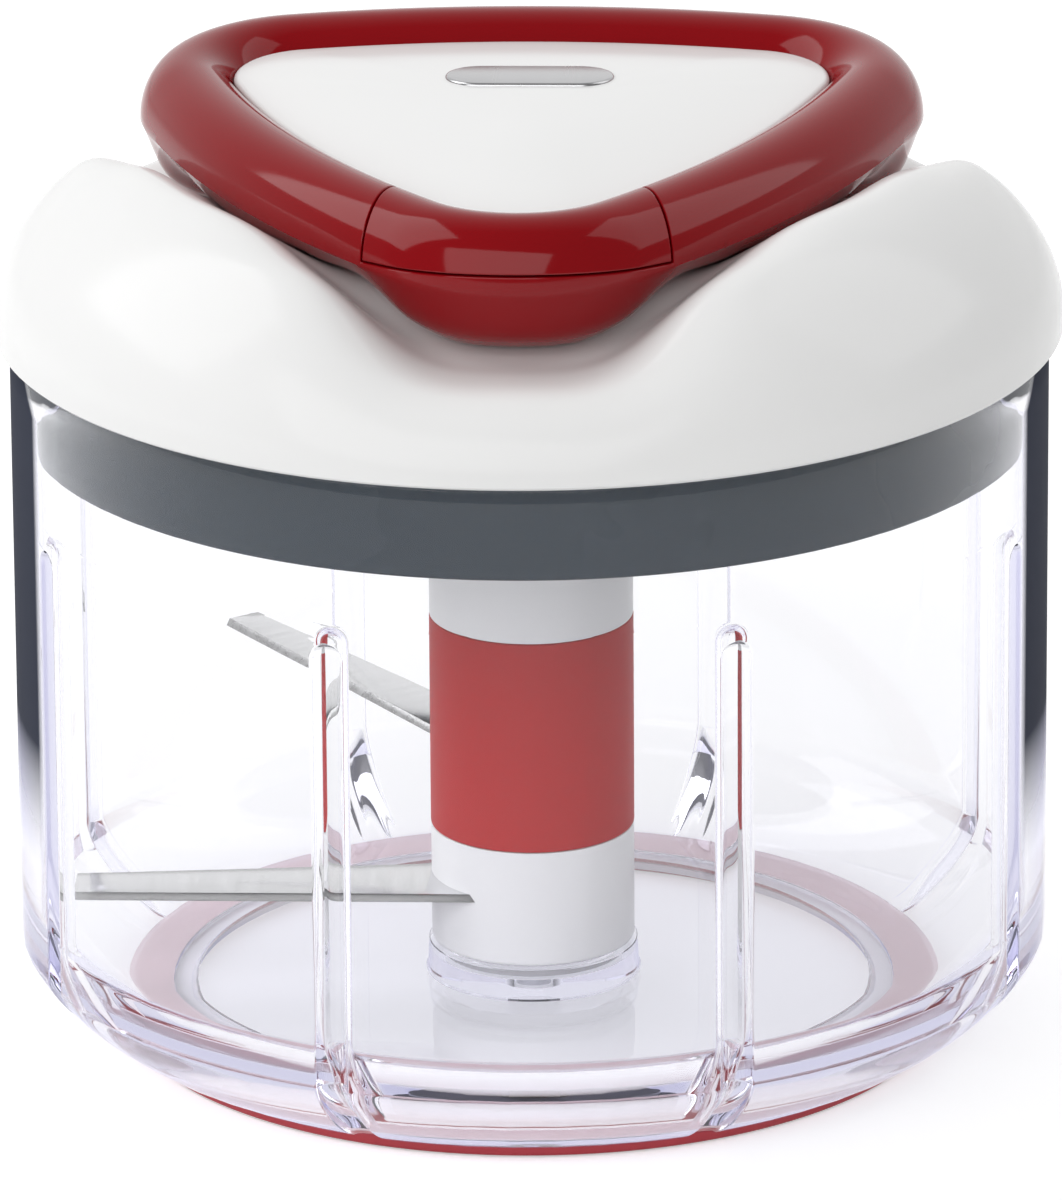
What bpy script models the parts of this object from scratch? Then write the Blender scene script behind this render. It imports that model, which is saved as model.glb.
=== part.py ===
# Manual food chopper with a pull cord: clear bowl, lobed lid, finger ring and blade column.
# Metres, +Z up. The origin is at the middle of the foot, and the pull handle faces -Y.

from math import acos, atan2, cos, degrees, hypot, pi, radians, sin, sqrt

import bmesh
import bpy
from mathutils import Matrix, Vector

NAME = "manual_food_chopper"

# Shared clearances
GAP = 0.0003
RUNNING_GAP = 0.0005
OVERRUN = 0.0010
MERGE = 0.00001

# Bowl
BOWL_RADIUS = 0.0633
BOWL_WALL = 0.0023
BOWL_HEIGHT = 0.0890
BOWL_RIM_ROUND = 0.0004
FLOOR_TOP_Z = 0.0058
FLOOR_THICKNESS = 0.0026
CORNER_WIDTH = 0.01345
CORNER_HEIGHT = 0.01165
CORNER_BOTTOM_Z = 0.0002
INNER_CORNER_WIDTH = 0.0120
INNER_CORNER_HEIGHT = 0.0110
CORNER_POWER = 1.354
CORNER_STEPS = 5
FLUTE_COUNT = 8
FLUTE_BEND_STEPS = 4
FLUTE_TURN = 24.4
FLUTE_RADIUS = 0.0022
FLUTE_DEPTH = 0.0020
FLUTE_TOP_DROP = 0.0230
FLUTE_TOP_Z = BOWL_HEIGHT - FLUTE_TOP_DROP
RIDGE_RADIUS = 0.0019
RIDGE_INSET = 0.0001
HUB_SEAT_LEDGE = 0.00036
HUB_SEAT_WALL = 0.0017
HUB_SEAT_HEIGHT = 0.0039
HUB_SEAT_FLOOR_RISE = 0.0022
HUB_SEAT_TOP_Z = FLOOR_TOP_Z + HUB_SEAT_HEIGHT
HUB_SEAT_FLOOR_Z = FLOOR_TOP_Z + HUB_SEAT_FLOOR_RISE

# Soft foot ring under the bowl
FOOT_GROOVE_INSET = 0.0123
FOOT_CHAMFER_WIDTH = 0.0019
FOOT_GROOVE_RADIUS = BOWL_RADIUS - FOOT_GROOVE_INSET
FOOT_OUTER_RADIUS = FOOT_GROOVE_RADIUS - GAP - FOOT_CHAMFER_WIDTH
FOOT_GROOVE_WIDTH = 0.0064
FOOT_RIB_WIDTH = 0.0024
FOOT_RIB_DRAFT = 0.0006
FOOT_CHAMFER_HEIGHT = 0.0009

# Steel pin in the floor of the bowl
PIN_RADIUS = 0.0022
PIN_SOCKET_DEPTH = 0.0036
PIN_HEIGHT = 0.0180
PIN_TOP_Z = HUB_SEAT_FLOOR_Z + PIN_HEIGHT
WASHER_BORE_RADIUS = 0.0030

# Blade column
COLUMN_RADIUS = 0.01254
COLUMN_TOP_DROP = 0.0105
COLUMN_EDGE_ROUND = 0.0005
COLUMN_BOTTOM_Z = HUB_SEAT_TOP_Z + GAP
COLUMN_TOP_Z = BOWL_HEIGHT - COLUMN_TOP_DROP
HUB_SEAT_RADIUS = COLUMN_RADIUS + HUB_SEAT_LEDGE
BAND_THICKNESS = 0.0009
PIN_BORE_CLEARANCE = 0.0004
SOCKET_RADIUS = 0.0071
SOCKET_FLOOR_THICKNESS = 0.0020
SOCKET_DEPTH = 0.0122
SOCKET_BOTTOM_Z = COLUMN_TOP_Z - SOCKET_DEPTH

# Blades
BLADE_THICKNESS = 0.0009
BLADE_EDGE_THICKNESS = 0.00015
BLADE_LEAD = 0.0104
BLADE_BACK = 0.0020
BLADE_BEVEL = 0.0030
BLADE_WALL_GAP = 0.0069
BLADE_REACH = BOWL_RADIUS - BLADE_WALL_GAP
BLADE_TIP_SLANT = 0.0014
BLADE_ROOT = 0.0050
BLADE_BEND_START = 0.0260
LOWER_BLADE_RISE = 0.0112
LOWER_BLADE_Z = FLOOR_TOP_Z + LOWER_BLADE_RISE
LOWER_BLADE_TURN = 181.9
LOWER_BLADE_LIFT = 0.0
UPPER_BLADE_RISE = 0.0194
UPPER_BLADE_Z = LOWER_BLADE_Z + UPPER_BLADE_RISE
BAND_LENGTH = 0.0270
BAND_BELOW_BLADE = 0.0114
BAND_BOTTOM_Z = UPPER_BLADE_Z - BAND_BELOW_BLADE
BAND_TOP_Z = BAND_BOTTOM_Z + BAND_LENGTH
UPPER_BLADE_TURN = 120.9
UPPER_BLADE_LIFT = 0.0022

# Lid cover
LID_OVERHANG = 0.0017
LID_RADIUS = BOWL_RADIUS + LID_OVERHANG
LID_EDGE_Z = BOWL_HEIGHT + GAP
LID_RISE = 0.0234
LID_WALL = 0.0020
LID_SECTION_STEPS = 9
LID_TURNS = 48
CREST_VALLEY_POWER = 2.5
TROUGH_VALLEY_POWER = 0.95
TROUGH_START_SHARE = 0.40
TROUGH_FULL_SHARE = 0.75
LOBES = 3
LOBE_RADIUS_SHARES = (1.0, 0.998, 0.975, 0.932, 0.871, 0.797, 0.720, 0.638, 0.540, 0.415)
LOBE_HEIGHT_SHARES = (0.0, 0.171, 0.385, 0.594, 0.790, 0.940, 1.0, 0.863, 0.680, 0.680)
VALLEY_RADIUS_SHARES = (1.0, 0.992, 0.968, 0.932, 0.886, 0.800, 0.720, 0.626, 0.520, 0.415)
VALLEY_HEIGHT_SHARES = (0.0, 0.124, 0.252, 0.355, 0.412, 0.418, 0.422, 0.480, 0.680, 0.680)

# Collar that plugs the bowl, with the floor of the lid
COLLAR_FIT = 0.0006
COLLAR_WALL = 0.0023
COLLAR_DEPTH = 0.0122
COLLAR_EDGE_ROUND = 0.0004
COLLAR_FLANGE_GAP = 0.0006
COLLAR_FLANGE_HEIGHT = 0.0019
COLLAR_RADIUS = BOWL_RADIUS - BOWL_WALL - COLLAR_FIT
COLLAR_BOTTOM_Z = BOWL_HEIGHT - COLLAR_DEPTH
COLLAR_FLANGE_RADIUS = LID_RADIUS - LID_WALL - COLLAR_FLANGE_GAP
LID_FLOOR_RECESS = 0.0032
LID_FLOOR_THICKNESS = 0.0020
LID_FLOOR_Z = COLLAR_BOTTOM_Z + LID_FLOOR_RECESS
SCREW_INSET = 0.0164
SCREW_CIRCLE = COLLAR_RADIUS - SCREW_INSET
SCREW_BOSS_RADIUS = 0.0034
SCREW_HOLE_RADIUS = 0.0015
SCREW_SHANK_RADIUS = 0.0012
SCREW_HEAD_RADIUS = 0.0026
SCREW_HEAD_HEIGHT = 0.0014
SCREW_LENGTH = 0.0090
SCREW_HOLE_DEPTH = 0.0085
SCREW_TURNS = (30.0, 150.0, 270.0)

# Finger ring: a rounded triangle with its corners over the valleys of the lid
RING_CORNER_DISTANCE = 0.0303
RING_CORNER_RADIUS = 0.0155
RING_SIDE_DISTANCE = 0.0337
RING_HEIGHT = 0.0289
RING_CREST_Z = LID_EDGE_Z + RING_HEIGHT
RING_LEAN = 0.0233
RING_HALF_WIDTH = 0.0062
RING_HALF_HEIGHT = 0.0076
RING_ARC_STEPS = 8
RING_CORNER_STEPS = 9
RING_SIDE_STEPS = 6
RING_LEDGE_WIDTH = 0.0016
RING_FOOT_SIDE = 0.0340
RING_FOOT_TIP = 0.0430
RING_NECK_SHARES = ((0.25, 0.62), (0.60, 0.88))
RING_NECK_HOLLOW = 0.0006
RING_SEAT_GAP = 0.0014
RING_NECK_GAP = 0.0014

# Pull handle: the top half of the front corner of the ring
HANDLE_PART_DEPTH = 0.0068
HANDLE_PART_Z = RING_CREST_Z - HANDLE_PART_DEPTH
HANDLE_PART_DROP = 0.0012
HANDLE_SEAM = 0.0003
HANDLE_INNER = 0.0032
HANDLE_END_HALF_WIDTH = 0.0183
HANDLE_END_Y = -0.0420
HANDLE_END_FLARE = 0.45
HANDLE_REACH = 66.0
HANDLE_STEPS = 26

# Centre cap
CAP_SEAT_DEPTH = 0.0089
CAP_SEAT_Z = RING_CREST_Z - CAP_SEAT_DEPTH
CAP_SIDE_GAP = 0.0004
CAP_EDGE_DROP = 0.0026
CAP_EDGE_ROUND = 0.0009
CAP_DOME = 0.0022
CAP_WALL = 0.0019
CAP_DOME_SHARES = (0.90, 0.70, 0.40)
CAP_BOSS_RADIUS = 0.0046
CAP_BOSS_DEPTH = 0.0048
CAP_BOSS_BOTTOM_Z = RING_CREST_Z - CAP_BOSS_DEPTH
INLAY_LENGTH = 0.0206
INLAY_WIDTH = 0.0088
INLAY_THICKNESS = 0.0012
INLAY_PROUD = 0.0003
INLAY_Y = 0.0087

# Cord and its guide
CORD_RADIUS = 0.0008
CORD_DEPTH = 0.0050
CORD_Z = RING_CREST_Z - CORD_DEPTH
GUIDE_WALL = 0.0004
GUIDE_LENGTH = 0.0018
GUIDE_BORE_RADIUS = CORD_RADIUS + GAP
GUIDE_RADIUS = GUIDE_BORE_RADIUS + GUIDE_WALL
STOP_RISE = 0.0003
STOP_RADIUS = CORD_RADIUS + STOP_RISE
STOP_LENGTH = 0.0034
STOP_DEPTH = 0.0042

# One-way clutch and drive shaft
PAWL_RING_RADIUS = 0.0160
PAWL_RING_THICKNESS = 0.0024
PAWL_COUNT = 3
PAWL_ARM_WIDTH = 0.0020
PAWL_ARM_SPAN = 74.0
PAWL_ROOT_SPAN = 16.0
PAWL_STEPS = 6
SHAFT_RADIUS = 0.0047
BUSH_WALL = 0.0019
BUSH_FLANGE_WIDTH = 0.0017
BUSH_RADIUS = SHAFT_RADIUS + GAP + BUSH_WALL
BUSH_FLANGE_RADIUS = BUSH_RADIUS + BUSH_FLANGE_WIDTH
BUSH_FLANGE_THICKNESS = 0.0012
BUSH_DROP = 0.0007
BUSH_RISE = 0.0060
BUSH_BOTTOM_Z = LID_FLOOR_Z - BUSH_DROP
BUSH_TOP_Z = LID_FLOOR_Z + BUSH_RISE
RATCHET_RADIUS = 0.0110
PAWL_TIP_GAP = 0.0004
PAWL_TIP_RADIUS = RATCHET_RADIUS + PAWL_TIP_GAP
RATCHET_TOOTH = 0.0018
RATCHET_TEETH = 12
RATCHET_HEIGHT = 0.0035
RATCHET_BOTTOM_Z = BUSH_TOP_Z + GAP
RATCHET_TOP_Z = RATCHET_BOTTOM_Z + RATCHET_HEIGHT
SHAFT_TOP_RADIUS = 0.0036
SHAFT_END_GAP = 0.0007
SHAFT_BOTTOM_Z = SOCKET_BOTTOM_Z + SOCKET_FLOOR_THICKNESS + SHAFT_END_GAP
HEX_RADIUS = 0.00485
HEX_TOP_Z = BUSH_BOTTOM_Z - GAP

# Reel, its spring and the spring case
WIND_TURNS = 2.4
WIND_PITCH = 0.0021
WIND_STEPS = 20
WIND_EXIT_DROP = 0.0046
REEL_WIND_RADIUS = 0.0184
REEL_FLANGE_RISE = 0.0041
REEL_FLANGE_RADIUS = REEL_WIND_RADIUS + REEL_FLANGE_RISE
REEL_FLANGE_THICKNESS = 0.0012
REEL_TOP_GAP = 0.0010
REEL_HEIGHT = 0.0108
REEL_HUB_RADIUS = 0.0050
REEL_HUB_GAP = 0.0004
REEL_TOP_Z = CAP_BOSS_BOTTOM_Z - REEL_TOP_GAP
REEL_FLOOR_Z = REEL_TOP_Z - REEL_HEIGHT
REEL_HUB_BOTTOM_Z = RATCHET_TOP_Z + GAP + PAWL_RING_THICKNESS + REEL_HUB_GAP
WIND_EXIT_Z = REEL_TOP_Z - WIND_EXIT_DROP
AXLE_RADIUS = 0.0026
AXLE_END_GAP = 0.0004
AXLE_SEAT_DEPTH = 0.0018
AXLE_BOTTOM_Z = RATCHET_TOP_Z + AXLE_END_GAP
AXLE_TOP_Z = CAP_BOSS_BOTTOM_Z + AXLE_SEAT_DEPTH
CASE_WALL = 0.0014
CASE_SIDE_GAP = 0.0017
CASE_RADIUS = REEL_FLANGE_RADIUS + CASE_SIDE_GAP + CASE_WALL
CASE_RISE = 0.0013
CASE_BOTTOM_Z = REEL_HUB_BOTTOM_Z + RUNNING_GAP
CASE_TOP_Z = REEL_FLOOR_Z + CASE_RISE
CASE_FLANGE_WIDTH = 0.0054
CASE_FLANGE_RADIUS = CASE_RADIUS + CASE_FLANGE_WIDTH
CASE_FLANGE_THICKNESS = 0.0015
SPRING_TURNS = 5
SPRING_THICKNESS = 0.0004
SPRING_STEPS = 14
SPRING_FLOOR_GAP = 0.0004
SPRING_HUB_GAP = 0.0007
SPRING_WALL_GAP = 0.0006
SPRING_INNER_RADIUS = REEL_HUB_RADIUS + SPRING_HUB_GAP
SPRING_OUTER_RADIUS = CASE_RADIUS - CASE_WALL - SPRING_WALL_GAP
SPRING_BOTTOM_Z = CASE_BOTTOM_Z + CASE_WALL + SPRING_FLOOR_GAP
SPRING_TOP_Z = REEL_FLOOR_Z - REEL_FLANGE_THICKNESS - RUNNING_GAP

# Facet counts
BOWL_FACETS = 48
COLLAR_FACETS = 36
SMALL_FACETS = 20
TINY_FACETS = 12
HEX_FACETS = 6
STADIUM_STEPS = 6

# Colours (linear RGB), roughness and metallic value
CLEAR = ((0.80, 0.82, 0.92), 0.05, 0.0)
WHITE = ((0.85, 0.85, 0.84), 0.25, 0.0)
RED = ((0.36, 0.004, 0.012), 0.18, 0.0)
SOFT_RED = ((0.42, 0.03, 0.04), 0.55, 0.0)
BAND_RED = ((0.55, 0.035, 0.04), 0.50, 0.0)
SLATE = ((0.065, 0.090, 0.115), 0.40, 0.0)
STEEL = ((0.62, 0.62, 0.62), 0.22, 1.0)
SPRING_STEEL = ((0.35, 0.36, 0.38), 0.30, 1.0)
BLACK = ((0.03, 0.03, 0.03), 0.50, 0.0)
CORD_WHITE = ((0.75, 0.74, 0.70), 0.80, 0.0)


def clear_scene():
    for item in list(bpy.data.objects):
        bpy.data.objects.remove(item, do_unlink=True)


def new_collection(name):
    collection = bpy.data.collections.new(name)
    bpy.context.scene.collection.children.link(collection)
    return collection


def material(name, look):
    colour, roughness, metallic = look
    made = bpy.data.materials.get(name)
    if made is None:
        made = bpy.data.materials.new(name)
        made.use_nodes = True
        shader = made.node_tree.nodes["Principled BSDF"]
        shader.inputs["Base Color"].default_value = (*colour, 1.0)
        shader.inputs["Roughness"].default_value = roughness
        shader.inputs["Metallic"].default_value = metallic
        made.diffuse_color = (*colour, 1.0)
    return made


def add_object(name, mesh, look=None, cutter=False):
    made = bpy.data.objects.new(name, mesh)
    if cutter:
        CUTTERS.objects.link(made)
        made.hide_render = True
        made.display_type = "WIRE"
    else:
        PARTS.objects.link(made)
        mesh.materials.append(material("finish_" + name, look))
    return made


def mesh_from_bmesh(name, bm):
    bmesh.ops.recalc_face_normals(bm, faces=bm.faces)
    mesh = bpy.data.meshes.new(name)
    bm.to_mesh(mesh)
    bm.free()
    return mesh


def turned(name, profile, look=None, facets=SMALL_FACETS, cutter=False):
    """Turn a profile of (radius, height) about Z: its outer side runs from top to bottom."""
    closed = min(radius for radius, _ in profile) > 0.0
    mesh = bpy.data.meshes.new(name)
    edges = [(i, i + 1) for i in range(len(profile) - 1)]
    if closed:
        edges.append((len(profile) - 1, 0))
    mesh.from_pydata([(radius, 0.0, height) for radius, height in profile], edges, [])
    made = add_object(name, mesh, look, cutter)
    screw = made.modifiers.new("turn", "SCREW")
    screw.axis = "Z"
    screw.angle = 2.0 * pi
    screw.steps = facets
    screw.render_steps = facets
    screw.use_merge_vertices = True
    screw.merge_threshold = MERGE
    screw.use_smooth_shade = True
    return made


def cylinder(name, radius, bottom, top, look=None, facets=SMALL_FACETS, cutter=False, place=(0.0, 0.0)):
    bm = bmesh.new()
    middle = Matrix.Translation(Vector((place[0], place[1], (bottom + top) / 2.0)))
    bmesh.ops.create_cone(bm, cap_ends=True, segments=facets, radius1=radius, radius2=radius,
                          depth=top - bottom, matrix=middle)
    return add_object(name, mesh_from_bmesh(name, bm), look, cutter)


def prism(name, outline, bottom, top, look=None, cutter=False):
    """Raise a flat outline of (x, y) points between two heights."""
    bm = bmesh.new()
    face = bm.faces.new([bm.verts.new((x, y, bottom)) for x, y in outline])
    raised = bmesh.ops.extrude_face_region(bm, geom=[face])
    lifted = [part for part in raised["geom"] if isinstance(part, bmesh.types.BMVert)]
    bmesh.ops.translate(bm, vec=(0.0, 0.0, top - bottom), verts=lifted)
    return add_object(name, mesh_from_bmesh(name, bm), look, cutter)


def lofted(name, sections, look=None, closed_path=False, closed_section=True, poles=(), cutter=False):
    """Skin a list of sections, each a list of points; poles close the first and last point rows."""
    bm = bmesh.new()
    grid = [[bm.verts.new(point) for point in section] for section in sections]
    rows = len(grid)
    columns = len(grid[0])
    for i in range(rows if closed_path else rows - 1):
        for j in range(columns if closed_section else columns - 1):
            here = grid[i]
            there = grid[(i + 1) % rows]
            k = (j + 1) % columns
            bm.faces.new((here[j], here[k], there[k], there[j]))
    if poles:
        for pole, column in zip(poles, (0, columns - 1)):
            tip = bm.verts.new(pole)
            for i in range(rows):
                bm.faces.new((tip, grid[i][column], grid[(i + 1) % rows][column]))
    elif not closed_path:
        bm.faces.new(grid[0])
        bm.faces.new(grid[-1])
    return add_object(name, mesh_from_bmesh(name, bm), look, cutter)


def tube(name, points, radius, look=None, resolution=2, cutter=False, shrink=()):
    """A round bar along a row of points; shrink thins its first points to a rounded end."""
    curve = bpy.data.curves.new(name, "CURVE")
    curve.dimensions = "3D"
    curve.bevel_depth = radius
    curve.bevel_resolution = resolution
    curve.use_fill_caps = True
    spline = curve.splines.new("POLY")
    spline.points.add(len(points) - 1)
    for target, point in zip(spline.points, points):
        target.co = (*point, 1.0)
    for target, factor in zip(spline.points, shrink):
        target.radius = factor
    temporary = bpy.data.objects.new(name + "_curve", curve)
    CUTTERS.objects.link(temporary)
    bpy.context.view_layer.update()
    graph = bpy.context.evaluated_depsgraph_get()
    mesh = bpy.data.meshes.new_from_object(temporary.evaluated_get(graph))
    bpy.data.objects.remove(temporary, do_unlink=True)
    bm = bmesh.new()
    bm.from_mesh(mesh)
    bmesh.ops.remove_doubles(bm, verts=bm.verts, dist=MERGE)
    bmesh.ops.recalc_face_normals(bm, faces=bm.faces)
    bm.to_mesh(mesh)
    bm.free()
    mesh.name = name
    mesh.materials.clear()
    return add_object(name, mesh, look, cutter)


def boolean(item, operation, tool):
    step = item.modifiers.new(operation.lower() + "_" + tool.name, "BOOLEAN")
    step.operation = operation
    step.solver = "EXACT"
    step.object = tool


def cut(item, tool):
    boolean(item, "DIFFERENCE", tool)


def join(item, tool):
    boolean(item, "UNION", tool)


def polar(radius, turn, height):
    return (radius * cos(radians(turn)), radius * sin(radians(turn)), height)


def mix(a, b, share):
    return a + (b - a) * share


def hermite(values, t):
    """Read a smooth curve through equally spaced values at the parameter t, from 0 to 1."""
    last = len(values) - 1
    i = min(int(t * last), last - 1)
    u = t * last - i
    a = values[i]
    b = values[i + 1]
    slope_a = (b - values[max(i - 1, 0)]) / 2.0
    slope_b = (values[min(i + 2, last)] - a) / 2.0
    square = u * u
    cube = square * u
    return ((2.0 * cube - 3.0 * square + 1.0) * a + (cube - 2.0 * square + u) * slope_a
            + (3.0 * square - 2.0 * cube) * b + (cube - square) * slope_b)


def corner_curve(radius, width, height, bottom):
    """The soft bottom corner of the bowl, from its wall down to its floor."""
    points = []
    for step in range(CORNER_STEPS + 1):
        turn = pi / 2.0 * step / CORNER_STEPS
        across = cos(turn) ** (2.0 / CORNER_POWER) if step < CORNER_STEPS else 0.0
        down = sin(turn) ** (2.0 / CORNER_POWER) if step else 0.0
        points.append((radius - width * (1.0 - across), bottom + height * (1.0 - down)))
    return points


def inner_corner():
    return corner_curve(BOWL_RADIUS - BOWL_WALL, INNER_CORNER_WIDTH, INNER_CORNER_HEIGHT, FLOOR_TOP_Z)


def outer_corner():
    return corner_curve(BOWL_RADIUS, CORNER_WIDTH, CORNER_HEIGHT, CORNER_BOTTOM_Z)


def bowl_profile():
    under = FLOOR_TOP_Z - FLOOR_THICKNESS
    rib_outer = FOOT_GROOVE_RADIUS - FOOT_GROOVE_WIDTH
    socket = PIN_RADIUS + GAP
    socket_floor = HUB_SEAT_FLOOR_Z - PIN_SOCKET_DEPTH
    inside = [(0.0, socket_floor), (socket, socket_floor), (socket, HUB_SEAT_FLOOR_Z),
              (HUB_SEAT_RADIUS - HUB_SEAT_WALL, HUB_SEAT_FLOOR_Z),
              (HUB_SEAT_RADIUS - HUB_SEAT_WALL, HUB_SEAT_TOP_Z),
              (HUB_SEAT_RADIUS, HUB_SEAT_TOP_Z),
              (HUB_SEAT_RADIUS + GAP, FLOOR_TOP_Z)]
    inside += reversed(inner_corner())
    rim = [(BOWL_RADIUS - BOWL_WALL, BOWL_HEIGHT - BOWL_RIM_ROUND),
           (BOWL_RADIUS - BOWL_WALL + BOWL_RIM_ROUND, BOWL_HEIGHT),
           (BOWL_RADIUS - BOWL_RIM_ROUND, BOWL_HEIGHT),
           (BOWL_RADIUS, BOWL_HEIGHT - BOWL_RIM_ROUND)]
    outside = [point for point in outer_corner() if point[0] > FOOT_GROOVE_RADIUS + GAP]
    rib_bottom = outside[-1][1]
    beneath = [(FOOT_GROOVE_RADIUS, rib_bottom), (FOOT_GROOVE_RADIUS, under), (rib_outer, under),
               (rib_outer, rib_bottom), (rib_outer - FOOT_RIB_WIDTH, rib_bottom),
               (rib_outer - FOOT_RIB_WIDTH - FOOT_RIB_DRAFT, under), (0.0, under)]
    return inside + rim + outside + beneath


def flute_path(turn, offset, points, top, ends):
    """A path down the wall and round the corner, at an offset from the curve given."""
    wall_radius = points[0][0] + offset
    rounding = [(wall_radius, top - back) for back in ends]
    path = rounding + [(wall_radius, points[0][1])]
    for before, here, after in zip(points, points[1:], points[2:]):
        along = (after[0] - before[0], after[1] - before[1])
        length = hypot(*along)
        path.append((here[0] - along[1] / length * offset, here[1] + along[0] / length * offset))
    return [polar(radius, turn, height) for radius, height in path[:len(ends) + FLUTE_BEND_STEPS]]


def make_bowl():
    bowl = turned("bowl", bowl_profile(), CLEAR, BOWL_FACETS)
    shrink = (0.25, 0.75, 1.0)
    groove_ends = (0.0, FLUTE_RADIUS / 3.0, FLUTE_RADIUS)
    ridge_ends = (-RIDGE_RADIUS, -RIDGE_RADIUS / 3.0, RIDGE_RADIUS / 2.0)
    ridges = []
    grooves = []
    for number in range(FLUTE_COUNT):
        turn = 270.0 + FLUTE_TURN + 360.0 / FLUTE_COUNT * number
        ridge_offset = BOWL_WALL - RIDGE_RADIUS - RIDGE_INSET
        path = flute_path(turn, ridge_offset, inner_corner(), FLUTE_TOP_Z, ridge_ends)
        ridges.append(tube(f"cut_ridge_{number}", path, RIDGE_RADIUS, resolution=1, cutter=True,
                           shrink=shrink))
        path = flute_path(turn, FLUTE_RADIUS - FLUTE_DEPTH, outer_corner(), FLUTE_TOP_Z, groove_ends)
        grooves.append(tube(f"cut_groove_{number}", path, FLUTE_RADIUS, resolution=1, cutter=True,
                            shrink=shrink))
    for ridge in ridges:
        join(bowl, ridge)
    for groove in grooves:
        cut(bowl, groove)
    return bowl


def make_foot():
    outer = FOOT_GROOVE_RADIUS - GAP
    inner = FOOT_GROOVE_RADIUS - FOOT_GROOVE_WIDTH + GAP
    top = FLOOR_TOP_Z - FLOOR_THICKNESS - GAP
    chamfer = FOOT_CHAMFER_WIDTH
    profile = [(outer, top), (outer, FOOT_CHAMFER_HEIGHT), (FOOT_OUTER_RADIUS, 0.0),
               (inner + chamfer / 2.0, 0.0), (inner, FOOT_CHAMFER_HEIGHT), (inner, top)]
    turned("base_ring", profile, SOFT_RED, BOWL_FACETS)


def make_pin():
    bottom = HUB_SEAT_FLOOR_Z - PIN_SOCKET_DEPTH + GAP
    tip = PIN_RADIUS / 2.0
    profile = [(0.0, PIN_TOP_Z), (tip, PIN_TOP_Z), (PIN_RADIUS, PIN_TOP_Z - tip), (PIN_RADIUS, bottom),
               (0.0, bottom)]
    turned("centre_pin", profile, STEEL, TINY_FACETS)


def make_washer():
    outer = HUB_SEAT_RADIUS - HUB_SEAT_WALL - GAP
    profile = [(outer, COLUMN_BOTTOM_Z - GAP), (outer, HUB_SEAT_FLOOR_Z + GAP),
               (WASHER_BORE_RADIUS, HUB_SEAT_FLOOR_Z + GAP), (WASHER_BORE_RADIUS, COLUMN_BOTTOM_Z - GAP)]
    turned("foot_washer", profile, BLACK)


def blade_sections(height, turn, lift, grow):
    """Sections of one blade from its root to its slanted tip, each wider by grow all round."""
    stations = (BLADE_ROOT - grow, BLADE_BEND_START, (BLADE_BEND_START + BLADE_REACH) / 2.0, BLADE_REACH)
    width = BLADE_LEAD + BLADE_BACK
    sections = []
    for station in stations:
        rise = lift * max(0.0, (station - BLADE_BEND_START) / (BLADE_REACH - BLADE_BEND_START))
        low = height + rise - BLADE_THICKNESS / 2.0 - grow
        high = height + rise + BLADE_THICKNESS / 2.0 + grow
        edge = high if grow else low + BLADE_EDGE_THICKNESS
        outline = ((-BLADE_BACK - grow, low), (-BLADE_BACK - grow, high),
                   (BLADE_LEAD - BLADE_BEVEL, high), (BLADE_LEAD + grow, edge), (BLADE_LEAD + grow, low))
        section = []
        for across, up in outline:
            slant = BLADE_TIP_SLANT * (BLADE_LEAD - across) / width if station == BLADE_REACH else 0.0
            spot = Matrix.Rotation(radians(turn), 3, "Z") @ Vector((station - slant, across, up))
            section.append(spot)
        sections.append(section)
    return sections


def make_column():
    band = COLUMN_RADIUS - BAND_THICKNESS
    socket = SOCKET_RADIUS + GAP
    socket_floor = SOCKET_BOTTOM_Z - GAP
    pin_bore = PIN_RADIUS + PIN_BORE_CLEARANCE
    pin_bore_top = PIN_TOP_Z + RUNNING_GAP
    profile = [(0.0, socket_floor), (socket, socket_floor), (socket, COLUMN_TOP_Z),
               (COLUMN_RADIUS - COLUMN_EDGE_ROUND, COLUMN_TOP_Z),
               (COLUMN_RADIUS, COLUMN_TOP_Z - COLUMN_EDGE_ROUND),
               (COLUMN_RADIUS, BAND_TOP_Z + GAP), (band - GAP, BAND_TOP_Z + GAP),
               (band - GAP, BAND_BOTTOM_Z - GAP), (COLUMN_RADIUS, BAND_BOTTOM_Z - GAP),
               (COLUMN_RADIUS, COLUMN_BOTTOM_Z + COLUMN_EDGE_ROUND),
               (COLUMN_RADIUS - COLUMN_EDGE_ROUND, COLUMN_BOTTOM_Z), (pin_bore, COLUMN_BOTTOM_Z),
               (pin_bore, pin_bore_top), (0.0, pin_bore_top)]
    column = turned("hub_column", profile, WHITE, COLLAR_FACETS)
    ring = [(COLUMN_RADIUS, BAND_TOP_Z), (COLUMN_RADIUS, BAND_BOTTOM_Z), (band, BAND_BOTTOM_Z),
            (band, BAND_TOP_Z)]
    sleeve = turned("hub_sleeve", ring, BAND_RED, COLLAR_FACETS)
    blades = (("lower_blade", LOWER_BLADE_Z, LOWER_BLADE_TURN, LOWER_BLADE_LIFT),
              ("upper_blade", UPPER_BLADE_Z, UPPER_BLADE_TURN, UPPER_BLADE_LIFT))
    for name, height, turn, lift in blades:
        lofted(name, blade_sections(height, turn, lift, 0.0), STEEL)
        pocket = lofted("cut_" + name, blade_sections(height, turn, lift, GAP), cutter=True)
        cut(column, pocket)
        if BAND_BOTTOM_Z < height < BAND_TOP_Z:
            cut(sleeve, pocket)


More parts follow.
